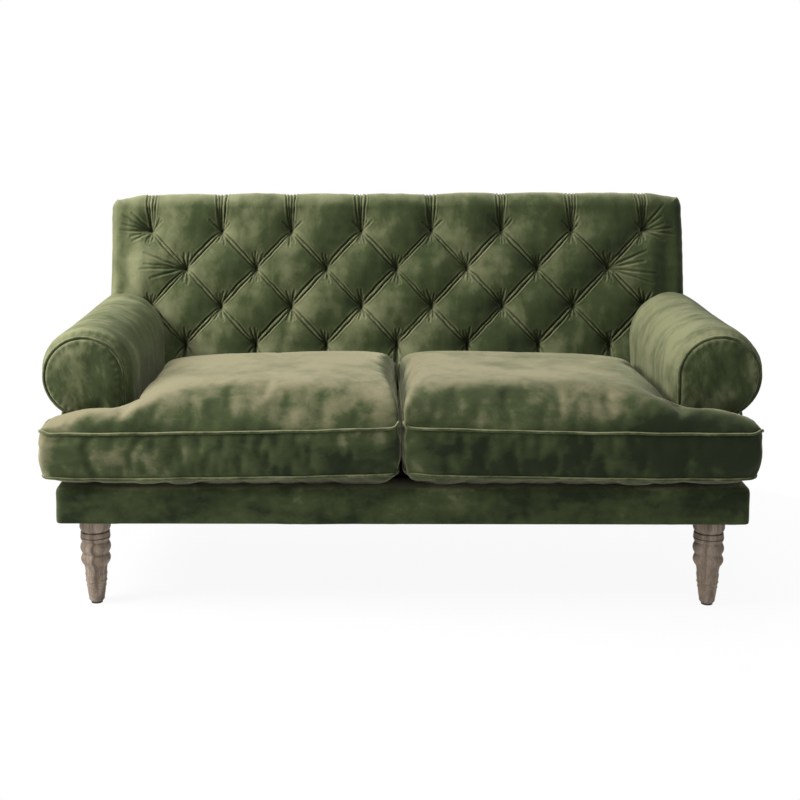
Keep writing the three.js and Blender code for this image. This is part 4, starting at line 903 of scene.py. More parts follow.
# %% A node tree that makes piping
def new_geometry_tree(name, sizes):
    tree = bpy.data.node_groups.new(name, "GeometryNodeTree")
    tree.interface.new_socket("Geometry", in_out="INPUT", socket_type="NodeSocketGeometry")
    for label, value in sizes.items():
        kind = {int: "NodeSocketInt", float: "NodeSocketFloat"}.get(type(value), "NodeSocketMaterial")
        socket = tree.interface.new_socket(label, in_out="INPUT", socket_type=kind)
        if kind != "NodeSocketMaterial":
            socket.default_value = value
    tree.interface.new_socket("Geometry", in_out="OUTPUT", socket_type="NodeSocketGeometry")
    return tree, node(tree, "NodeGroupInput").outputs, tree.nodes.new("NodeGroupOutput").inputs


def end_geometry_tree(tree, shape, given, result):
    """Turns what the tree has grown into real geometry, gives it its finish and hands it out."""
    whole = node(tree, "GeometryNodeRealizeInstances", {"Geometry": shape.outputs[0]})
    finished = node(tree, "GeometryNodeSetMaterial", {"Geometry": whole.outputs[0], "Material": given["Finish"]})
    tree.links.new(finished.outputs[0], result["Geometry"])


def grown(piece, tree, values):
    """Runs a node tree on a piece and keeps the result as a plain mesh."""
    modifier = piece.modifiers.new("nodes", "NODES")
    modifier.node_group = tree
    for item in tree.interface.items_tree:
        if item.in_out == "INPUT" and item.name in values:
            modifier[item.identifier] = values[item.name]
    applied(piece)
    return piece


piping_tree, given, result = new_geometry_tree("piping", {"Radius": 0.004, "Sides": 10, "Finish": None})
path = node(piping_tree, "GeometryNodeMeshToCurve", {"Mesh": given["Geometry"]})
section = node(piping_tree, "GeometryNodeCurvePrimitiveCircle",
               {"Radius": given["Radius"], "Resolution": given["Sides"]})
swept = node(piping_tree, "GeometryNodeCurveToMesh", {"Curve": path.outputs[0], "Profile Curve": section.outputs[0]})
end_geometry_tree(piping_tree, swept, given, result)


def piping(name, path, radius=welt_radius, finish=welt_velvet, closed=True, sides=10):
    path = [tuple(map(float, p)) for p in path]
    links = [(k, k + 1) for k in range(len(path) - 1)] + ([(len(path) - 1, 0)] if closed else [])
    mesh = bpy.data.meshes.new(name)
    mesh.from_pydata(path, links, [])
    piece = grown(add_object(name, mesh), piping_tree, {"Radius": radius, "Sides": sides, "Finish": finish})
    tidy_mesh(piece.data)
    return finish_shading(piece, 180)


def resampled(path, step, closed=True):
    """The same path with points at even distances."""
    path = np.asarray(path)
    loop = np.vstack([path, path[:1]]) if closed else path
    lengths = np.concatenate([[0], np.cumsum(np.linalg.norm(np.diff(loop, axis=0), axis=1))])
    count = max(3, round(lengths[-1] / step))
    at = np.linspace(0, lengths[-1], count + 1)[:-1 if closed else None]
    return np.stack([np.interp(at, lengths, loop[:, k]) for k in range(3)], axis=-1)


def drawn_to(cover, path, reach):
    """Draws a path in until no point of it is further than reach from the cover."""
    corners = [list(polygon.vertices) for polygon in cover.data.polygons]
    surface = BVHTree.FromPolygons([vertex.co for vertex in cover.data.vertices], corners)
    drawn = []
    for point in path:
        nearest, _, _, away = surface.find_nearest(Vector(point))
        drawn.append(nearest + (Vector(point) - nearest) * min(1, reach / max(away, 1e-6)))
    return np.array(drawn)


def relaxed(path, rounds=2):
    """A closed path with its small bends eased."""
    for _ in range(rounds):
        path = 0.5 * path + 0.25 * (np.roll(path, 1, axis=0) + np.roll(path, -1, axis=0))
    return path


print("piping tree:", len(piping_tree.nodes), "nodes")

# %% Welts of the cushions
cushion_welt_radius, welt_stand, welt_reach, welt_wander = 0.0031, 0.0026, 0.0024, 0.0010
for name, (cushion, seams, outwards) in cushion_seams.items():
    for place, seam in zip(("top", "bottom"), seams):
        path = np.array(seam)
        path[:, :2] += outwards * welt_stand
        path = relaxed(resampled(path, 0.006), 2 if place == "top" else 10)
        path = relaxed(drawn_to(cushion, path, welt_reach), 1)
        path[:, 2] += smooth_noise(path, 0.11, 5 if place == "top" else 6) * welt_wander
        welt = piping(f"cushion_piping_{place}_{name}", path, radius=cushion_welt_radius)
        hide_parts(f"cushion_{place}_welt_{name}")
        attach(welt, f"seat_cushion_{name}")
        print(welt.name, len(welt.data.polygons), "faces")

# %% [markdown]
# ## The scroll arms
# Each arm is a padded roll over a timber rail, with the cover pulled tight from the seat, up the inner wall,
# over the roll and back in under it. It is one section that changes a little from front to rear, so we loft it
# through sixty stations. At the rear the pad is cut off along the slope of the back, with a boolean, because the
# two pads are pressed against each other there.

# %% Roll pads
pad_front, roll_end_angle = -0.2997, -1.13
roll_front_radius, front_run, cut_height = 0.0925, 0.042, 0.530
channel_outer, channel_lip, arm_wall = 0.034, 0.015, 0.038
wall_points, turn_points, under_points = 23, 72, 4
back_depth = 0.1774
back_corner = [(0.660, -0.0345), (0.680, -0.0245), (0.700, -0.0170), (0.714, -0.0155), (0.726, -0.0128),
               (0.7374, -0.0050), (pad_half + fit_gap, 0.009), (pad_half + fit_gap, 0.40)]


def behind_tufts(depth, z):
    """The y of a plane that leans with the back, a given depth behind the bottom of the tufts."""
    return back_foot.y + depth / math.cos(recline) + (z - back_foot.z) * math.tan(recline)


def radius_behind_front(share):
    """The roll swells behind its front; share runs from 0 at the front to 1 where it has its full radius."""
    return roll_front_radius + (roll_radius + roll_swell - roll_front_radius) * math.sin(share * math.pi / 2)


def arm_section(y, radius):
    """One section of the pad as (x, z): up the inner wall, over the roll, and back along the inside."""
    cx, cz, floor_z = roll_x(y), roll_z(y), deck_top
    inner = cx - radius
    wall = cx - roll_radius - roll_swell + arm_wall
    turns = np.linspace(math.pi, roll_end_angle, turn_points)
    section = [(inner, z) for z in np.linspace(floor_z, cz, wall_points + 1)[:-1]]
    section += [(cx + radius * math.cos(t), cz + radius * math.sin(t)) for t in turns]
    section += [(cx + channel_outer, cz + radius * math.sin(roll_end_angle))]
    section += [(cx + channel_outer, cz - channel_lip), (wall, cz - channel_lip), (wall, floor_z)]
    return np.array(section)


def build_roll_pad(name, side):
    swollen = roll_radius + roll_swell
    stations = [(pad_front + front_run * t, radius_behind_front(t)) for t in np.linspace(0, 1, 15)]
    rear = behind_tufts(back_depth, cut_height)
    stations += [(y, swollen) for y in np.linspace(stations[-1][0], rear - 0.016, 46)[1:]]
    stations += [(rear - 0.016 * (1 - t), swollen - 0.008 * t * t) for t in (0.35, 0.65, 0.85, 1.0)]
    rings = []
    for y, radius in stations:
        section = arm_section(y, radius)
        slope = smoothstep(y, 0.05, rear - 0.02) * (section[:, 1] - cut_height) * math.tan(recline)
        rings.append(np.column_stack([section[:, 0] * side, y + slope, section[:, 1]]))
    count = len(rings[0])
    points = np.concatenate(rings)
    middle = np.array([[side * roll_x(y), y, roll_z(y)] for y, _ in stations]).repeat(count, axis=0)
    outwards = points - middle
    outwards[:, 1] = 0
    outwards /= np.linalg.norm(outwards, axis=1)[:, None]
    angle = np.arctan2(outwards[:, 2], outwards[:, 0])
    from_front = points[:, 1] - pad_front
    from_rear = rear - points[:, 1]
    pucker = 0.0011 * np.cos(angle * 34 + smooth_noise(points, 0.2, 21)) * np.exp(-(from_front / 0.022) ** 2)
    soft = 0.0016 * smooth_noise(points, 0.22, 22) + 0.0007 * smooth_noise(points * (1, 0.4, 1), 0.05, 23)
    dent = -0.0030 * np.exp(-((from_rear - 0.10) / 0.030) ** 2) * (0.6 + 0.4 * smooth_noise(points, 0.10, 24))
    moves = (pucker + soft + dent) * smoothstep(from_front, -0.001, 0.008)
    outer_skin = np.tile(np.arange(count), len(stations)) < wall_points + turn_points - under_points
    points += outwards * (moves * outer_skin)[:, None]
    faces = grid_faces(count, len(stations), around=True)
    faces += [list(range(count)), list(range(len(points) - count, len(points)))]
    pad = mesh_from(f"arm_roll_{name}", points, faces, 35)

    outline = [(-x, depth) for x, depth in back_corner[::-1]] + back_corner
    ends = [(x, behind_tufts(depth, z), z) for z in (0.0, 1.0) for x, depth in outline]
    slab = mesh_from("slab_of_the_back", ends, prism_faces(len(outline)))
    trim = pad.modifiers.new("trim", "BOOLEAN")
    trim.object, trim.operation, trim.solver = slab, "DIFFERENCE", "EXACT"
    applied(pad)
    bpy.data.objects.remove(slab)
    return finish_shading(pad, 35)


for name, side in (("left", -1), ("right", 1)):
    pad = build_roll_pad(name, side)
    finish_with(arm_velvet, pad)
    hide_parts(f"arm_roll_pad_{name}")
    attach(pad, "sofa")
    print(pad.name, len(pad.data.polygons), "faces")

# %% [markdown]
# ## The fronts of the arms
# The front of each arm is a padded panel with a welt round it: round like the roll, with a narrow stem that runs
# straight down beside the cushion and closes the end of the arm's inner wall. We draw its outline, give it a
# thickness, rebuild it as an even skin of small squares, and dome it by how far each point lies from the welt.

# %% Outline of an arm's front
arm_front_y, facing_radius, facing_thickness, facing_crown = -0.312, 0.086, 0.012, 0.005
stem_width, stem_foot = 0.052, 0.284
seam_radius, seam_depth, seam_wander = 0.0903, 0.008, 0.0005


def arm_front_outline(radius, side, step=0.004):
    """(x, z) points from the stem's inner foot up, over the round and down to its outer foot, for one side."""
    cx, cz = roll_x(arm_front_y), roll_z(arm_front_y)
    meet = radius - stem_width
    turns = np.linspace(math.pi, -math.pi + math.acos(meet / radius), round(radius * 5.2 / step))
    round_part = [(cx + radius * math.cos(t), cz + radius * math.sin(t)) for t in turns]
    inner = [(cx - radius, z) for z in np.arange(stem_foot, cz - step / 2, step)]
    outer = [(cx - meet, z) for z in np.arange(round_part[-1][1] - step, stem_foot, -step)]
    outline = np.array(inner + round_part + outer + [(cx - meet, stem_foot)])
    return outline * (side, 1)


print("arm front outline:", len(arm_front_outline(facing_radius, 1)), "points")

# %% Panels and their piping
for name, side in (("left", -1), ("right", 1)):
    outline = arm_front_outline(facing_radius, side)
    count = len(outline)
    near = np.column_stack([outline[:, 0], np.full(count, arm_front_y), outline[:, 1]])
    points = np.concatenate([near, near + (0, facing_thickness, 0)])
    facing = mesh_from(f"arm_front_{name}", points, prism_faces(count))
    skin = facing.modifiers.new("skin", "REMESH")
    skin.mode, skin.voxel_size = "VOXEL", 0.0028
    eased = facing.modifiers.new("ease", "SMOOTH")
    eased.factor, eased.iterations = 0.5, 3
    applied(facing)
    points = points_of(facing.data)
    plan = points[:, [0, 2]]
    from_edge = np.full(len(points), np.inf)
    for start, end in zip(outline, np.roll(outline, -1, axis=0)):
        run = end - start
        share = np.clip(((plan - start) @ run) / (run @ run), 0, 1)
        from_edge = np.minimum(from_edge, np.linalg.norm(plan - start - share[:, None] * run, axis=1))
    around = np.arctan2(plan[:, 1] - roll_z(arm_front_y), plan[:, 0] - side * roll_x(arm_front_y))
    dome = facing_crown * smoothstep(from_edge, 0, 0.035) - 0.002 * (1 - smoothstep(from_edge, 0, 0.006))
    pucker = 0.0007 * np.cos(around * 26 + 2 * np.sin(around * 3)) * np.exp(-((from_edge - 0.006) / 0.006) ** 2)
    soft = 0.0012 * smooth_noise(points, 0.09, 31 + side)
    points[:, 1] -= (dome + pucker + soft * smoothstep(from_edge, 0, 0.02)) * (points[:, 1] < arm_front_y + 0.004)
    set_points(facing.data, points)
    finish_shading(facing, 180)
    finish_with(facing_velvet, facing)
    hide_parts(f"arm_facing_{name}")
    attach(facing, "sofa")

    seam = arm_front_outline(seam_radius, side)
    ring = np.column_stack([seam[:, 0], np.full(len(seam), arm_front_y + seam_depth), seam[:, 1]])
    ring = resampled(ring, 0.004, closed=False)
    ring += seam_wander * np.column_stack([smooth_noise(ring, 0.06, seed) for seed in (33, 34, 35)])
    welt = piping(f"arm_piping_{name}", ring, radius=0.0037, closed=False)
    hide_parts(f"arm_facing_welt_{name}")
    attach(welt, "sofa")
    print(facing.name, len(facing.data.polygons), "faces")

# %% [markdown]
# ## Flat covers: outside arms, front border and outside back
# These are velvet pulled over thin wadding. Their solids have the right outline, so each is copied, rebuilt as
# an even skin of small squares, smoothed to round its edges, and given a little swell and unevenness along its
# own surface. The skin is fine enough for soft edges and light enough to keep the sofa quick to draw.

# %% Soften the flat covers
def softened(name, source, voxel, rounds, swell, seed, keep_in):
    """keep_in(points, normals) says where the cover may swell; elsewhere it is pulled flat."""
    piece = copy_of_node(name, source)
    skin = piece.modifiers.new("skin", "REMESH")
    skin.mode, skin.voxel_size = "VOXEL", voxel
    eased = piece.modifiers.new("ease", "SMOOTH")
    eased.factor, eased.iterations = 0.5, rounds
    applied(piece)
    points = points_of(piece.data)
    normals = np.empty(points.size)
    piece.data.vertex_normals.foreach_get("vector", normals)
    normals = normals.reshape(-1, 3)
    low, high = points.min(axis=0), points.max(axis=0)
    depth = np.minimum(points - low, high - points)
    spans = np.argsort(high - low)[-2:]
    inside = np.minimum(depth[:, spans[0]], depth[:, spans[1]])
    uneven = 0.0009 * smooth_noise(points, 0.16, seed) + 0.0004 * smooth_noise(points, 0.04, seed + 1)
    moves = (swell * smoothstep(inside, 0.0, 0.07) + uneven) * keep_in(points, normals)
    set_points(piece.data, points + normals * moves[:, None])
    return finish_shading(piece, 180)


front_raise = 0.011


def raise_front_of_top(piece):
    """The roll is a little slimmer at its front, so the cover under it is pulled up to it there."""
    points = points_of(piece.data)
    near_front = 1 - smoothstep(points[:, 1], -0.314, -0.270)
    points[:, 2] += front_raise * near_front * smoothstep(points[:, 2], 0.36, 0.41)
    set_points(piece.data, points)


def outside_seam(side, out=0.7625, foot=0.200, seam_y=-0.3139):
    """From the foot of the front corner up to the roll, and back under the roll to the rear."""
    path = [(out * side, seam_y, z) for z in np.arange(foot, 0.415, 0.006)]
    for y in np.arange(seam_y + 0.006, 0.300, 0.010):
        radius = radius_behind_front(min(max((y - pad_front) / front_run, 0), 1))
        path.append((out * side, y, roll_z(y) - math.sqrt(radius ** 2 - (out - roll_x(y)) ** 2)))
    return path


for name, side in (("left", -1), ("right", 1)):
    outside = softened(f"outside_arm_{name}", f"arm_outside_panel_{name}", 0.0055, 4, 0.004, 41,
                       lambda points, normals: normals[:, 0] * side > 0.3)
    finish_with(panel_velvet, outside)
    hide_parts(f"arm_outside_panel_{name}")
    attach(outside, "sofa")
    raise_front_of_top(outside)
    seam = resampled(outside_seam(side), 0.006, closed=False)
    seam[1:-1] = 0.5 * seam[1:-1] + 0.25 * (seam[2:] + seam[:-2])
    edge = piping(f"outside_arm_piping_{name}", seam, radius=0.0038, closed=False, finish=arm_welt_velvet)
    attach(edge, "sofa")
    print(outside.name, len(outside.data.polygons), "faces")

border = softened("front_border_cover", "front_border", 0.0045, 4, 0.002, 45,
                  lambda points, normals: (normals[:, 1] < -0.3) | (np.abs(normals[:, 0]) > 0.6))
finish_with(front_velvet, border)
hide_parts("front_border")
outside_back = softened("outside_back_cover", "outside_back_panel", 0.0065, 3, 0.004, 47,
                        lambda points, normals: normals[:, 1] > 0.3)
finish_with(panel_velvet, outside_back)
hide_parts("outside_back_panel")
for piece in (border, outside_back):
    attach(piece, "sofa")
    print(piece.name, len(piece.data.polygons), "faces")

# %% Piping round the outside back
corner, seam_top = np.linspace(0, math.pi / 2, 14), pad_high - 0.005
run = [(-pad_half, w) for w in np.linspace(-0.045, seam_top - pad_edge, 40)]
run += [(-pad_half + pad_edge * (1 - math.cos(t)), seam_top - pad_edge * (1 - math.sin(t))) for t in corner[1:]]
left_half = list(run)
run += [(x, seam_top) for x in np.linspace(-pad_half + pad_edge, pad_half - pad_edge, 90)[1:-1]]
run += [(-x, w) for x, w in left_half[::-1]]
rear_seam = lean_back([(x * 1.001, pad_rear + 0.0002, w) for x, w in run])
rear_welt = piping("outside_back_piping", resampled(rear_seam, 0.012, closed=False), radius=0.0035, closed=False)
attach(rear_welt, "sofa")
print(rear_welt.name, len(rear_welt.data.polygons), "faces")

# %% [markdown]
# ## Weathered oak
# The legs are oak that has been greyed: a brown ground with pale, lime-filled grain running down the leg and
# darker streaks where the turning tool opened the end grain. Noise stretched along the leg gives the grain, and
# a second, finer noise gives the open pores.

# %% Timber finishes
def timber(name, dark, middle, light, along=(14, 14, 1.6), roughness=0.62, pores=0.5):
    material, tree, shader, place = start_material(name, roughness=roughness, Specular_IOR_Level=0.3)
    run = stretched(tree, place, along)
    figure = noise(tree, run, 3.2, detail=5, roughness=0.6, distortion=0.9)
    colour = ramp(tree, figure, (0.28, dark), (0.5, middle), (0.74, light))
    fine = noise(tree, stretched(tree, place, tuple(8 * v for v in along)), 4, detail=3, roughness=0.7)
    colour = blended(tree, pores, colour, ramp(tree, fine, (0.35, 0.25), (0.62, 0.72)), "OVERLAY")
    tree.links.new(colour, shader.inputs["Base Color"])
    gloss = maths(tree, "MULTIPLY_ADD", figure, -0.22, roughness + 0.12)
    tree.links.new(gloss, shader.inputs["Roughness"])
    add_bump(tree, shader, maths(tree, "ADD", figure, fine), 0.35, 0.0008)
    return material


leg_oak = timber("greyed_oak", from_srgb(84, 70, 58), from_srgb(128, 113, 99), from_srgb(160, 148, 134))
frame_pine = timber("frame_pine", from_srgb(176, 138, 92), from_srgb(206, 172, 122), from_srgb(222, 194, 150),
                    along=(1.4, 12, 12), roughness=0.7, pores=0.3)
print("timber finishes ready")

# %% [markdown]
# ## Turned front legs, tapered rear legs
# A front leg is turned on a lathe: a straight drum at the top, a step, a long belly, a second belly, two thin
# beads and a slim foot. The profile is a list of turnings, each with how far down it ends, how wide it is there
# and how far it swells or hollows on the way. We spin that profile round the leg's axis in fine steps. The rear
# legs are sawn square, tapered and raked, with their edges softened by a plane.

# %% Legs
leg_height, leg_x, front_leg_y, rear_leg_top_y, rear_rake = 0.198, 0.688, -0.350, 0.2012, 0.076
leg_end, turned_radius, square_top, square_foot = 0.0043, 0.035, 0.050, 0.032
square_corners = ((-1, -1), (1, -1), (1, 1), (-1, 1))
turnings = [
    (0.010, 1.000, 0), (0.105, 1.000, 0), (0.152, 0.870, 0.02), (0.158, 0.790, 0), (0.165, 0.930, 0),
    (0.216, 0.960, 0), (0.222, 0.870, 0), (0.229, 0.960, 0), (0.277, 0.850, 0.02), (0.421, 0.830, 0.14),
    (0.561, 0.755, 0.16), (0.658, 0.690, -0.02), (0.664, 0.713, 0), (0.740, 0.660, 0), (0.767, 0.640, 0.04),
    (0.806, 0.615, 0), (0.824, 0.600, 0.03), (0.958, 0.500, 0.01), (1.000, 0.400, 0.04),
]


def turned_leg(name, side):
    """The profile starts with the leg's slightly narrower top face and ends on the axis, above the glide."""
    length = leg_height - leg_end
    down, out = 0, 0.96
    profile = [(0.0004, leg_height), (turned_radius * out, leg_height)]
    for next_down, next_out, swell in turnings:
        steps = 12 if swell else 2
        for share in np.linspace(0, 1, steps + 1)[1:]:
            radius = out + (next_out - out) * share + swell * math.sin(math.pi * share)
            profile.append((turned_radius * radius, leg_height - length * (down + (next_down - down) * share)))
        down, out = next_down, next_out
    profile.append((0.0004, leg_height - length))
    around = 72
    turn = np.linspace(0, 2 * math.pi, around, endpoint=False)
    points = np.concatenate([
        np.column_stack([side * leg_x + r * np.cos(turn), front_leg_y + r * np.sin(turn), np.full(around, z)])
        for r, z in profile
    ])
    faces = grid_faces(around, len(profile), around=True)
    faces += [list(range(around)), list(range(len(points) - around, len(points)))]
    return mesh_from(name, points, faces, 28)


def tapered_leg(name, side):
    """A square leg as nine squares, each a little smaller and further back than the one above."""
    bm = bmesh.new()
    rings = []
    for share in np.linspace(0, 1, 9):
        z = leg_height + (leg_end - leg_height) * share
        down = (leg_height - z) / leg_height
        half = (square_top + (square_foot - square_top) * down) / 2
        y = rear_leg_top_y + rear_rake * down
        rings.append([bm.verts.new((side * leg_x + half * a, y + half * b, z)) for a, b in square_corners])
    for low, high in zip(rings, rings[1:]):
        for k in range(4):
            bm.faces.new((low[k], low[(k + 1) % 4], high[(k + 1) % 4], high[k]))
    bm.faces.new(rings[0])
    bm.faces.new(rings[-1])
    bmesh.ops.recalc_face_normals(bm, faces=bm.faces)
    mesh = bpy.data.meshes.new(name)
    bm.to_mesh(mesh)
    bm.free()
    leg = add_object(name, mesh)
    edge = leg.modifiers.new("planed_edge", "BEVEL")
    edge.width, edge.segments, edge.limit_method, edge.angle_limit = 0.0035, 4, "ANGLE", math.radians(40)
    return finish_shading(applied(leg), 30)


for name, side in (("left", -1), ("right", 1)):
    for leg, source in ((turned_leg(f"turned_leg_{name}", side), f"front_leg_{name}"),
                        (tapered_leg(f"tapered_leg_{name}", side), f"rear_leg_{name}")):
        finish_with(leg_oak, leg)
        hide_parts(source)
        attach(leg, "sofa")
        print(leg.name, len(leg.data.polygons), "faces")

# %% [markdown]
# ## Inside the sofa
# Timber rails, serpentine springs, webbing, boards, bolts and glides stay as the frame has them: their shapes
# are right, and most are only seen from below or when a cushion is lifted. Each still gets the finish of the
# real thing: planed pine, grey wire, woven jute, fibre board and black nylon. The dark cloth of the deck and the
# finishes of the zips are mixed here too, because they are made with the same two helpers.

# %% Finishes of the hidden parts
def cloth(name, dark, light, threads, roughness=0.95, thick=0.0006):
    """A plain weave: two sets of ridges that cross."""
    material, tree, shader, place = start_material(name, roughness=roughness, Specular_IOR_Level=0.2)
    waves = []
    for axis in ("X", "Y", "Z"):
        inputs = {"Vector": place, "Scale": threads, "Distortion": 0.6, "Detail": 1.0, "Detail Scale": 3.0}
        wave = node(tree, "ShaderNodeTexWave", inputs, wave_type="BANDS", bands_direction=axis, wave_profile="SIN")
        waves.append(wave.outputs["Fac"])
    weave = maths(tree, "MULTIPLY", maths(tree, "MAXIMUM", waves[0], waves[1]), waves[2])
    weave = maths(tree, "MULTIPLY_ADD", weave, 0.7, maths(tree, "MULTIPLY", noise(tree, place, 60), 0.5))
    tree.links.new(ramp(tree, weave, (0.15, dark), (0.85, light)), shader.inputs["Base Color"])
    add_bump(tree, shader, weave, 0.5, thick)
    return material


def hard_finish(name, base, worn, roughness, metallic=0.0, scale=60, bump=0.0003):
    material, tree, shader, place = start_material(name, roughness=roughness, Metallic=metallic)
    spots = noise(tree, place, scale, detail=4, roughness=0.6)
    tree.links.new(ramp(tree, spots, (0.35, base), (0.75, worn)), shader.inputs["Base Color"])
    gloss = maths(tree, "MULTIPLY_ADD", spots, 0.25, roughness - 0.1)
    tree.links.new(gloss, shader.inputs["Roughness"])
    add_bump(tree, shader, spots, 0.3, bump)
    return material


jute_weave = cloth("jute_weave", from_srgb(112, 86, 54), from_srgb(178, 148, 104), 160)
fibre_board = hard_finish("fibre_board", from_srgb(128, 98, 66), from_srgb(158, 128, 92), 0.9, scale=220)
dark_cloth = cloth("dark_cloth", from_srgb(20, 20, 19), from_srgb(44, 44, 42), 260)
zip_tape_cloth = cloth("zip_tape_cloth", from_srgb(26, 32, 20), from_srgb(52, 60, 38), 900, thick=0.0002)
spring_steel = hard_finish("spring_steel", from_srgb(120, 122, 124), from_srgb(168, 170, 172), 0.35, metallic=1.0)
nylon = hard_finish("black_nylon", from_srgb(22, 22, 22), from_srgb(40, 40, 40), 0.5, scale=90)
zip_nickel = hard_finish("zip_nickel", from_srgb(170, 166, 156), from_srgb(206, 202, 190), 0.25, metallic=1.0,
                         scale=200)

hidden_finishes = {
    frame_pine: ("seat_rail", "corner_block", "arm_post", "arm_top_rail", "back_post", "back_top_rail",
                 "back_lower_rail", "back_centre_post"),
    spring_steel: ("seat_spring", "leg_bolt"),
    jute_weave: ("back_webbing",),
    fibre_board: ("arm_inner_board",),
    nylon: ("glide",),
}
count = 0
for node_name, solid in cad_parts.items():
    for finish, words in hidden_finishes.items():
        if any(word in node_name for word in words):
            finish_with(finish, solid)
            count += 1
print(count, "frame solids finished")

# %% [markdown]
# ## Deck and dust cover
# Under the cushions the seat is closed by a padded deck in dark cloth, tight over the springs. A strip of the
# same cloth runs from the deck back under the foot of the tufted pad and closes the gap between them. Underneath,
# a thin black dust cover is stretched over the rails, with the four legs passing through it. Strip and dust cover
# are sheets with a slight sag or ripple, so a fine grid does them, and the leg holes are cut out of the finished
# sheet.

# %% Deck
deck = softened("seat_deck_cover", "seat_deck", 0.0065, 3, 0.002, 51, lambda points, normals: normals[:, 2] > 0.3)
finish_with(dark_cloth, deck)
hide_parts("seat_deck")
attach(deck, "sofa")

# %% The cloth behind the deck
deck_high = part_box("seat_deck")[1]
deck_edge = (deck_high[1] + 0.0004, deck_high[2] - 0.0006)
profile = np.array([deck_edge, (0.086, 0.2797), (0.106, 0.2835), (0.121, 0.2895), (0.136, 0.2906)])
strip_side = deck_high[0] - 0.001
lengths = np.concatenate([[0], np.cumsum(np.linalg.norm(np.diff(profile, axis=0), axis=1))])
columns, rows = 121, 15
x, run = np.meshgrid(np.linspace(-strip_side, strip_side, columns), np.linspace(0, lengths[-1], rows))
y, z = np.interp(run, lengths, profile[:, 0]), np.interp(run, lengths, profile[:, 1])
ripple = 0.0007 * np.sin(x * 60 + 2 * np.sin(x * 17)) * np.sin(np.pi * run / lengths[-1])
layer = np.stack([x, y, z + ripple], axis=-1).reshape(-1, 3)
strip = thin_sheet("cloth_behind_deck", layer, columns, rows, (0, 0, -0.0012))
finish_with(dark_cloth, strip)
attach(strip, "sofa")
print("cloth behind the deck", round(float(2 * strip_side), 3), "by", round(float(lengths[-1]), 3), "m")

# %% Dust cover
low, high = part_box("dust_cover")
columns, rows = 97, 41
x, y = np.meshgrid(np.linspace(low[0], high[0], columns), np.linspace(low[1], high[1], rows))
from_edge = np.minimum(np.minimum(x - low[0], high[0] - x), np.minimum(y - low[1], high[1] - y))
ripple = 0.0004 * np.sin(x * 190) * np.exp(-from_edge / 0.02)
sag = low[2] + 0.0009 - 0.0035 * smoothstep(from_edge, 0, 0.18) + ripple
layer = np.stack([x, y, sag], axis=-1).reshape(-1, 3)
dust_cover = thin_sheet("dust_cover_cloth", layer, columns, rows, (0, 0, 0.0008))
leg_hole, square_hole, past_cloth = 0.039, 0.029, 0.05
for side in (-1, 1):
    for kind, hole_y, size in (("round", front_leg_y, leg_hole), ("square", rear_leg_top_y, square_hole)):
        if kind == "round":
            turns = np.linspace(0, 2 * math.pi, 40, endpoint=False)
            ring = [(size * math.cos(t), size * math.sin(t)) for t in turns]
        else:
            ring = [(size * a, size * b) for a, b in square_corners]
        depths = (low[2] - past_cloth, high[2] + past_cloth)
        ends = [(side * leg_x + a, hole_y + b, z) for z in depths for a, b in ring]
        post = mesh_from("leg_hole", ends, prism_faces(len(ring)))
        cut = dust_cover.modifiers.new("hole", "BOOLEAN")
        cut.object, cut.operation, cut.solver = post, "DIFFERENCE", "EXACT"
        applied(dust_cover)
        bpy.data.objects.remove(post)
finish_shading(dust_cover, 60)
finish_with(dark_cloth, dust_cover)
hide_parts("dust_cover")
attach(dust_cover, "sofa")

# %% [markdown]
# ## Staples
# The dust cover is held by staples along the rails. Only the crown of a staple shows: a short flat wire, whose
# ends bend into the cloth. The same little wire comes back every few centimetres, so a node tree sets it out
# along the edge, turned to follow it and a little askew, as a staple gun leaves it.

# %% Staples round the dust cover
staple_tree, given, result = new_geometry_tree(
    "staples", {"Spacing": 0.045, "Width": 0.011, "Wire": 0.0005, "Askew": 0.16, "Seed": 3, "Finish": None})
rows_of_staples = node(staple_tree, "GeometryNodeMeshToCurve", {"Mesh": given["Geometry"]})
spaced_out = node(staple_tree, "GeometryNodeResampleCurve",
                  {"Curve": rows_of_staples.outputs[0], "Length": given["Spacing"]}, mode="LENGTH")
half_width = maths(staple_tree, "MULTIPLY", given["Width"], 0.5)
ends, bent_up, bent_down = [], 0.0012, -0.0002
for sign, height in ((-1, bent_up), (-1, bent_down), (1, bent_down), (1, bent_up)):
    beside = maths(staple_tree, "MULTIPLY", half_width, sign)
    ends.append(node(staple_tree, "ShaderNodeCombineXYZ", {"X": beside, "Z": height}).outputs[0])
crown = node(staple_tree, "GeometryNodeCurvePrimitiveBezierSegment",
             {"Resolution": 6, "Start": ends[0], "Start Handle": ends[1], "End Handle": ends[2], "End": ends[3]})
round_wire = node(staple_tree, "GeometryNodeCurvePrimitiveCircle", {"Radius": given["Wire"], "Resolution": 6})
staple = node(staple_tree, "GeometryNodeCurveToMesh",
              {"Curve": crown.outputs[0], "Profile Curve": round_wire.outputs[0], "Fill Caps": True})
tangent = node(staple_tree, "GeometryNodeInputTangent")
facing = node(staple_tree, "FunctionNodeAlignRotationToVector", {"Vector": tangent.outputs[0]}, axis="X")
placed = node(staple_tree, "GeometryNodeInstanceOnPoints",
              {"Points": spaced_out.outputs[0], "Instance": staple.outputs[0], "Rotation": facing.outputs[0]})
least = node(staple_tree, "ShaderNodeCombineXYZ", {"Z": maths(staple_tree, "MULTIPLY", given["Askew"], -1)})
most = node(staple_tree, "ShaderNodeCombineXYZ", {"Z": given["Askew"]})
askew = node(staple_tree, "FunctionNodeRandomValue", data_type="FLOAT_VECTOR")
for socket, source in ((0, least.outputs[0]), (1, most.outputs[0]), ("Seed", given["Seed"])):
    staple_tree.links.new(source, askew.inputs[socket])
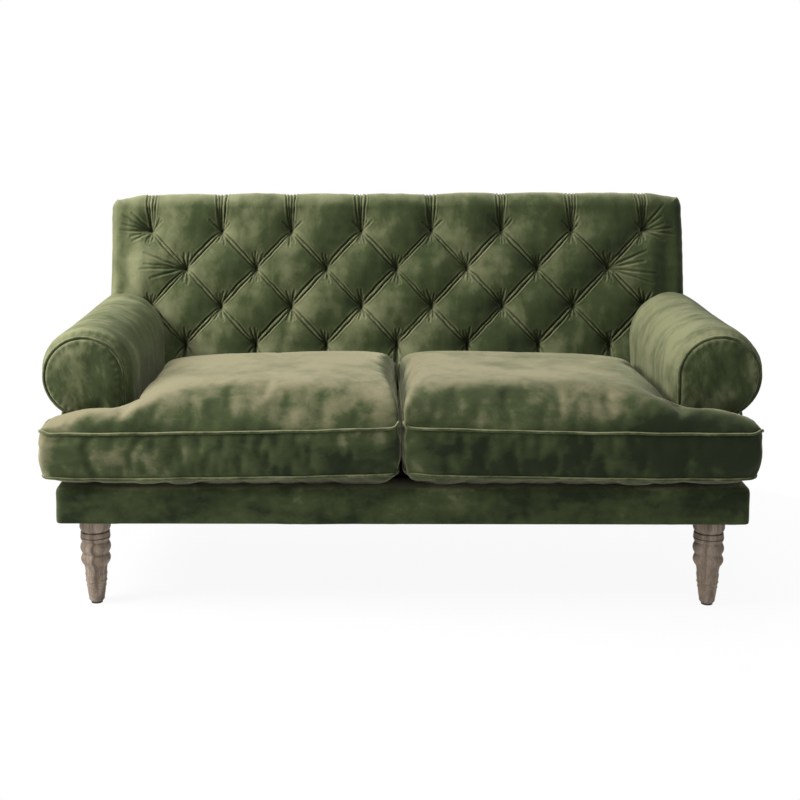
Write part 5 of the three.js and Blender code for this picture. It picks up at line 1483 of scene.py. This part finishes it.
turned = node(staple_tree, "GeometryNodeRotateInstances",
              {"Instances": placed.outputs[0], "Rotation": askew.outputs[0]})
end_geometry_tree(staple_tree, turned, given, result)

inset, near_reach, far_reach, side_from, side_to = 0.008, 0.630, 0.640, -0.290, 0.155
left_x, right_x, near_staples, far_staples = low[0] + inset, high[0] - inset, low[1] + inset, high[1] - inset
ends = [(-near_reach, near_staples), (near_reach, near_staples), (-far_reach, far_staples), (far_reach, far_staples),
        (left_x, side_from), (left_x, side_to), (right_x, side_from), (right_x, side_to)]
path = bpy.data.meshes.new("dust_cover_staples")
path.from_pydata([(float(a), float(b), float(low[2]) + 0.0004) for a, b in ends], [(0, 1), (2, 3), (4, 5), (6, 7)], [])
staples = grown(add_object("dust_cover_staples", path), staple_tree, {"Finish": spring_steel, "Seed": 3})
tidy_mesh(staples.data)
finish_shading(staples, 40)
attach(staples, "sofa")
print("staples:", len(staples.data.polygons), "faces")

# %% [markdown]
# ## Zips
# The rear boxing of each cushion is closed by a coil zip, sewn into a strip of tape. The coil is hundreds of
# equal loops of nylon, so it is grown with nodes: an oval loop is set on every point of a line, standing across
# it. The slider is a small plate, wide where the two rows come in and narrow where they leave as one, with a
# bridge and a pull that hangs down. It rides on its own joint.

# %% Zip tape and coil
coil_tree, given, result = new_geometry_tree(
    "zip_coil", {"Pitch": 0.0022, "Reach": 0.0024, "Flatness": 0.26, "Wire": 0.00042, "Finish": None})
line = node(coil_tree, "GeometryNodeMeshToCurve", {"Mesh": given["Geometry"]})
spaced_out = node(coil_tree, "GeometryNodeResampleCurve",
                  {"Curve": line.outputs[0], "Length": given["Pitch"]}, mode="LENGTH")
loop = node(coil_tree, "GeometryNodeCurvePrimitiveCircle", {"Radius": given["Reach"], "Resolution": 10})
oval = node(coil_tree, "ShaderNodeCombineXYZ", {"X": 1.0, "Y": given["Flatness"], "Z": 1.0})
flat_loop = node(coil_tree, "GeometryNodeTransform", {"Geometry": loop.outputs[0], "Scale": oval.outputs[0]})
across_line = node(coil_tree, "GeometryNodeTransform",
                   {"Geometry": flat_loop.outputs[0], "Rotation": (0, math.pi / 2, 0)})
thread = node(coil_tree, "GeometryNodeCurvePrimitiveCircle", {"Radius": given["Wire"], "Resolution": 4})
tooth = node(coil_tree, "GeometryNodeCurveToMesh",
             {"Curve": across_line.outputs[0], "Profile Curve": thread.outputs[0]})
placed = node(coil_tree, "GeometryNodeInstanceOnPoints",
              {"Points": spaced_out.outputs[0], "Instance": tooth.outputs[0]})
end_geometry_tree(coil_tree, placed, given, result)

tape_reach, tape_thickness, coil_y, coil_margin = 0.0120, 0.0007, 0.0776, 0.008
for name, side in (("left", -1), ("right", 1)):
    across = np.linspace(-tape_reach, tape_reach, 9)
    lengthways = np.linspace(zip_start + 0.004, zip_end - 0.002, 150)
    x, z = np.meshgrid(lengthways, across)
    ruffle = 0.00025 * np.sin(x * 420 + z * 90) * (np.abs(z) / tape_reach) ** 2
    y = zip_y + 0.0003 + ruffle + 0.0010 * smoothstep(np.abs(z), 0.006, tape_reach)
    layer = np.stack([x * side, y, z + zip_z], axis=-1).reshape(-1, 3)
    tape = thin_sheet(f"zip_tape_{name}", layer, len(lengthways), len(across), (0, -tape_thickness, 0))
    finish_with(zip_tape_cloth, tape)

    mesh = bpy.data.meshes.new("zip_coil")
    ends = [(side * x, coil_y, zip_z) for x in (zip_start + coil_margin, zip_end - coil_margin)]
    mesh.from_pydata(ends, [(0, 1)], [])
    coil = grown(add_object(f"zip_coil_{name}", mesh), coil_tree, {"Finish": nylon})
    tidy_mesh(coil.data)
    finish_shading(coil, 60)
    for piece in (tape, coil):
        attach(piece, f"seat_cushion_{name}")
        print(piece.name, len(piece.data.polygons), "faces")

# %% Zip sliders
def plate(outline, near, far):
    """A flat outline of (x, z) points as a plate between two depths: points and faces."""
    return [(x, y, z) for y in (near, far) for x, z in outline], prism_faces(len(outline))


wedge = [(-0.0068, -0.0028), (-0.0068, 0.0028), (-0.0010, 0.0040), (0.0062, 0.0044), (0.0068, 0.0030),
         (0.0068, 0.0008), (0.0046, 0.0), (0.0068, -0.0008), (0.0068, -0.0030), (0.0062, -0.0044),
         (-0.0010, -0.0040)]
bridge = [(-0.0036, -0.0011), (-0.0036, 0.0011), (0.0036, 0.0011), (0.0036, -0.0011)]
pull = [(-0.0021, -0.0122), (-0.0026, -0.0112), (-0.0026, -0.0050), (-0.0014, -0.0030), (-0.0014, 0.0018),
        (0.0014, 0.0018), (0.0014, -0.0030), (0.0026, -0.0050), (0.0026, -0.0112), (0.0021, -0.0122)]
pin = [(-0.0008, -0.0006), (-0.0008, 0.0006), (0.0008, 0.0006), (0.0008, -0.0006)]
slider_parts = ((wedge, 0.0, 0.0022), (bridge, 0.0020, 0.0042), (pull, 0.0046, 0.0056), (pin, 0.0040, 0.0060))
for name, side in (("left", -1), ("right", 1)):
    box_low, box_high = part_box(f"zip_slider_{name}")
    middle_x, face_y = (box_low[0] + box_high[0]) / 2, box_low[1] + 0.0001
    points, faces = [], []
    for outline, near, far in slider_parts:
        piece_points, piece_faces = plate(outline, near, far)
        faces += [[k + len(points) for k in face] for face in piece_faces]
        points += piece_points
    points = [(middle_x - side * x, face_y + y, zip_z + z) for x, y, z in points]
    slider = mesh_from(f"zip_slider_shape_{name}", points, faces, 30)
    edge = slider.modifiers.new("filed_edge", "BEVEL")
    edge.width, edge.segments, edge.limit_method, edge.angle_limit = 0.0003, 2, "ANGLE", math.radians(40)
    finish_shading(applied(slider), 30)
    finish_with(zip_nickel, slider)
    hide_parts(f"zip_slider_{name}")
    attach(slider, f"zip_slider_{name}")
    print(slider.name, len(slider.data.polygons), "faces")

# %% [markdown]
# ## Floor, light and background
# A studio shot of furniture is lit by one large soft lamp high on one side and a weaker one on the other, in
# front of a white backdrop. The floor keeps the sofa's own soft shadow close by, and further out it passes into
# plain white for the camera and for reflections, so that it has no horizon.

# %% Floor and backdrop
floor_reach, paint_white, least_white = 14, 0.93, 0.93
room_light, backdrop_light = 0.25, 1.0


def seen_by_camera(tree):
    """1 for what the camera sees, straight or in a reflection or through something, and 0 for light that bounces."""
    rays = node(tree, "ShaderNodeLightPath")
    seen = maths(tree, "MAXIMUM", rays.outputs["Is Camera Ray"], rays.outputs["Is Glossy Ray"])
    return maths(tree, "MAXIMUM", seen, rays.outputs["Is Transmission Ray"])


floor_mesh = bpy.data.meshes.new("floor")
floor_mesh.from_pydata([(floor_reach * a, floor_reach * b, 0) for a, b in square_corners], [], [(0, 1, 2, 3)])
floor = add_object("floor", floor_mesh)
floor_paint, tree, shader, place = start_material("floor_paint", roughness=0.95)
shader.inputs["Base Color"].default_value = (paint_white, paint_white, paint_white, 1)
seen = seen_by_camera(tree)
distance = node(tree, "ShaderNodeVectorMath", {0: stretched(tree, place, (0.62, 0.9, 1))}, operation="LENGTH")
away = node(tree, "ShaderNodeMapRange", {"Value": distance.outputs["Value"], "From Min": 0.50, "From Max": 0.86})
away.interpolation_type = "SMOOTHSTEP"
white = node(tree, "ShaderNodeEmission", {"Color": (1, 1, 1, 1), "Strength": 1.0})
share = maths(tree, "MULTIPLY", seen, away.outputs["Result"])
near_white = maths(tree, "MULTIPLY", seen, least_white)
share = maths(tree, "MAXIMUM", share, near_white)
mixed = node(tree, "ShaderNodeMixShader", {0: share, 1: shader.outputs[0], 2: white.outputs[0]})
tree.links.new(mixed.outputs[0], tree.nodes["Material Output"].inputs["Surface"])
finish_with(floor_paint, floor)

world = bpy.data.worlds.new("studio")
world.use_nodes = True
bpy.context.scene.world = world
tree = world.node_tree
sky = tree.nodes["Background"]
sky.inputs["Color"].default_value = (1, 1, 1, 1)
strength = maths(tree, "MULTIPLY_ADD", seen_by_camera(tree), backdrop_light - room_light, room_light)
tree.links.new(strength, sky.inputs["Strength"])
print("floor and backdrop ready")

# %% Lamps
def soft_lamp(name, place, aim, width, watts, colour=(1, 1, 1)):
    lamp = bpy.data.lights.new(name, "AREA")
    lamp.shape, lamp.size, lamp.energy, lamp.color = "DISK", width, watts, colour
    holder = bpy.data.objects.new(name, lamp)
    holder.location = place
    holder.rotation_euler = (Vector(aim) - Vector(place)).to_track_quat("-Z", "Y").to_euler()
    bpy.context.scene.collection.objects.link(holder)
    return holder


seat_middle = (0, 0, 0.45)
soft_lamp("key_lamp", (-2.3, -0.95, 2.0), seat_middle, 1.3, 92, (1, 0.985, 0.96))
soft_lamp("fill_lamp", (2.6, -2.6, 1.9), seat_middle, 2.4, 9)
soft_lamp("top_lamp", (0.0, 0.2, 3.0), seat_middle, 2.2, 48)
soft_lamp("rear_lamp", (0.6, 3.2, 2.2), seat_middle, 2.4, 40)
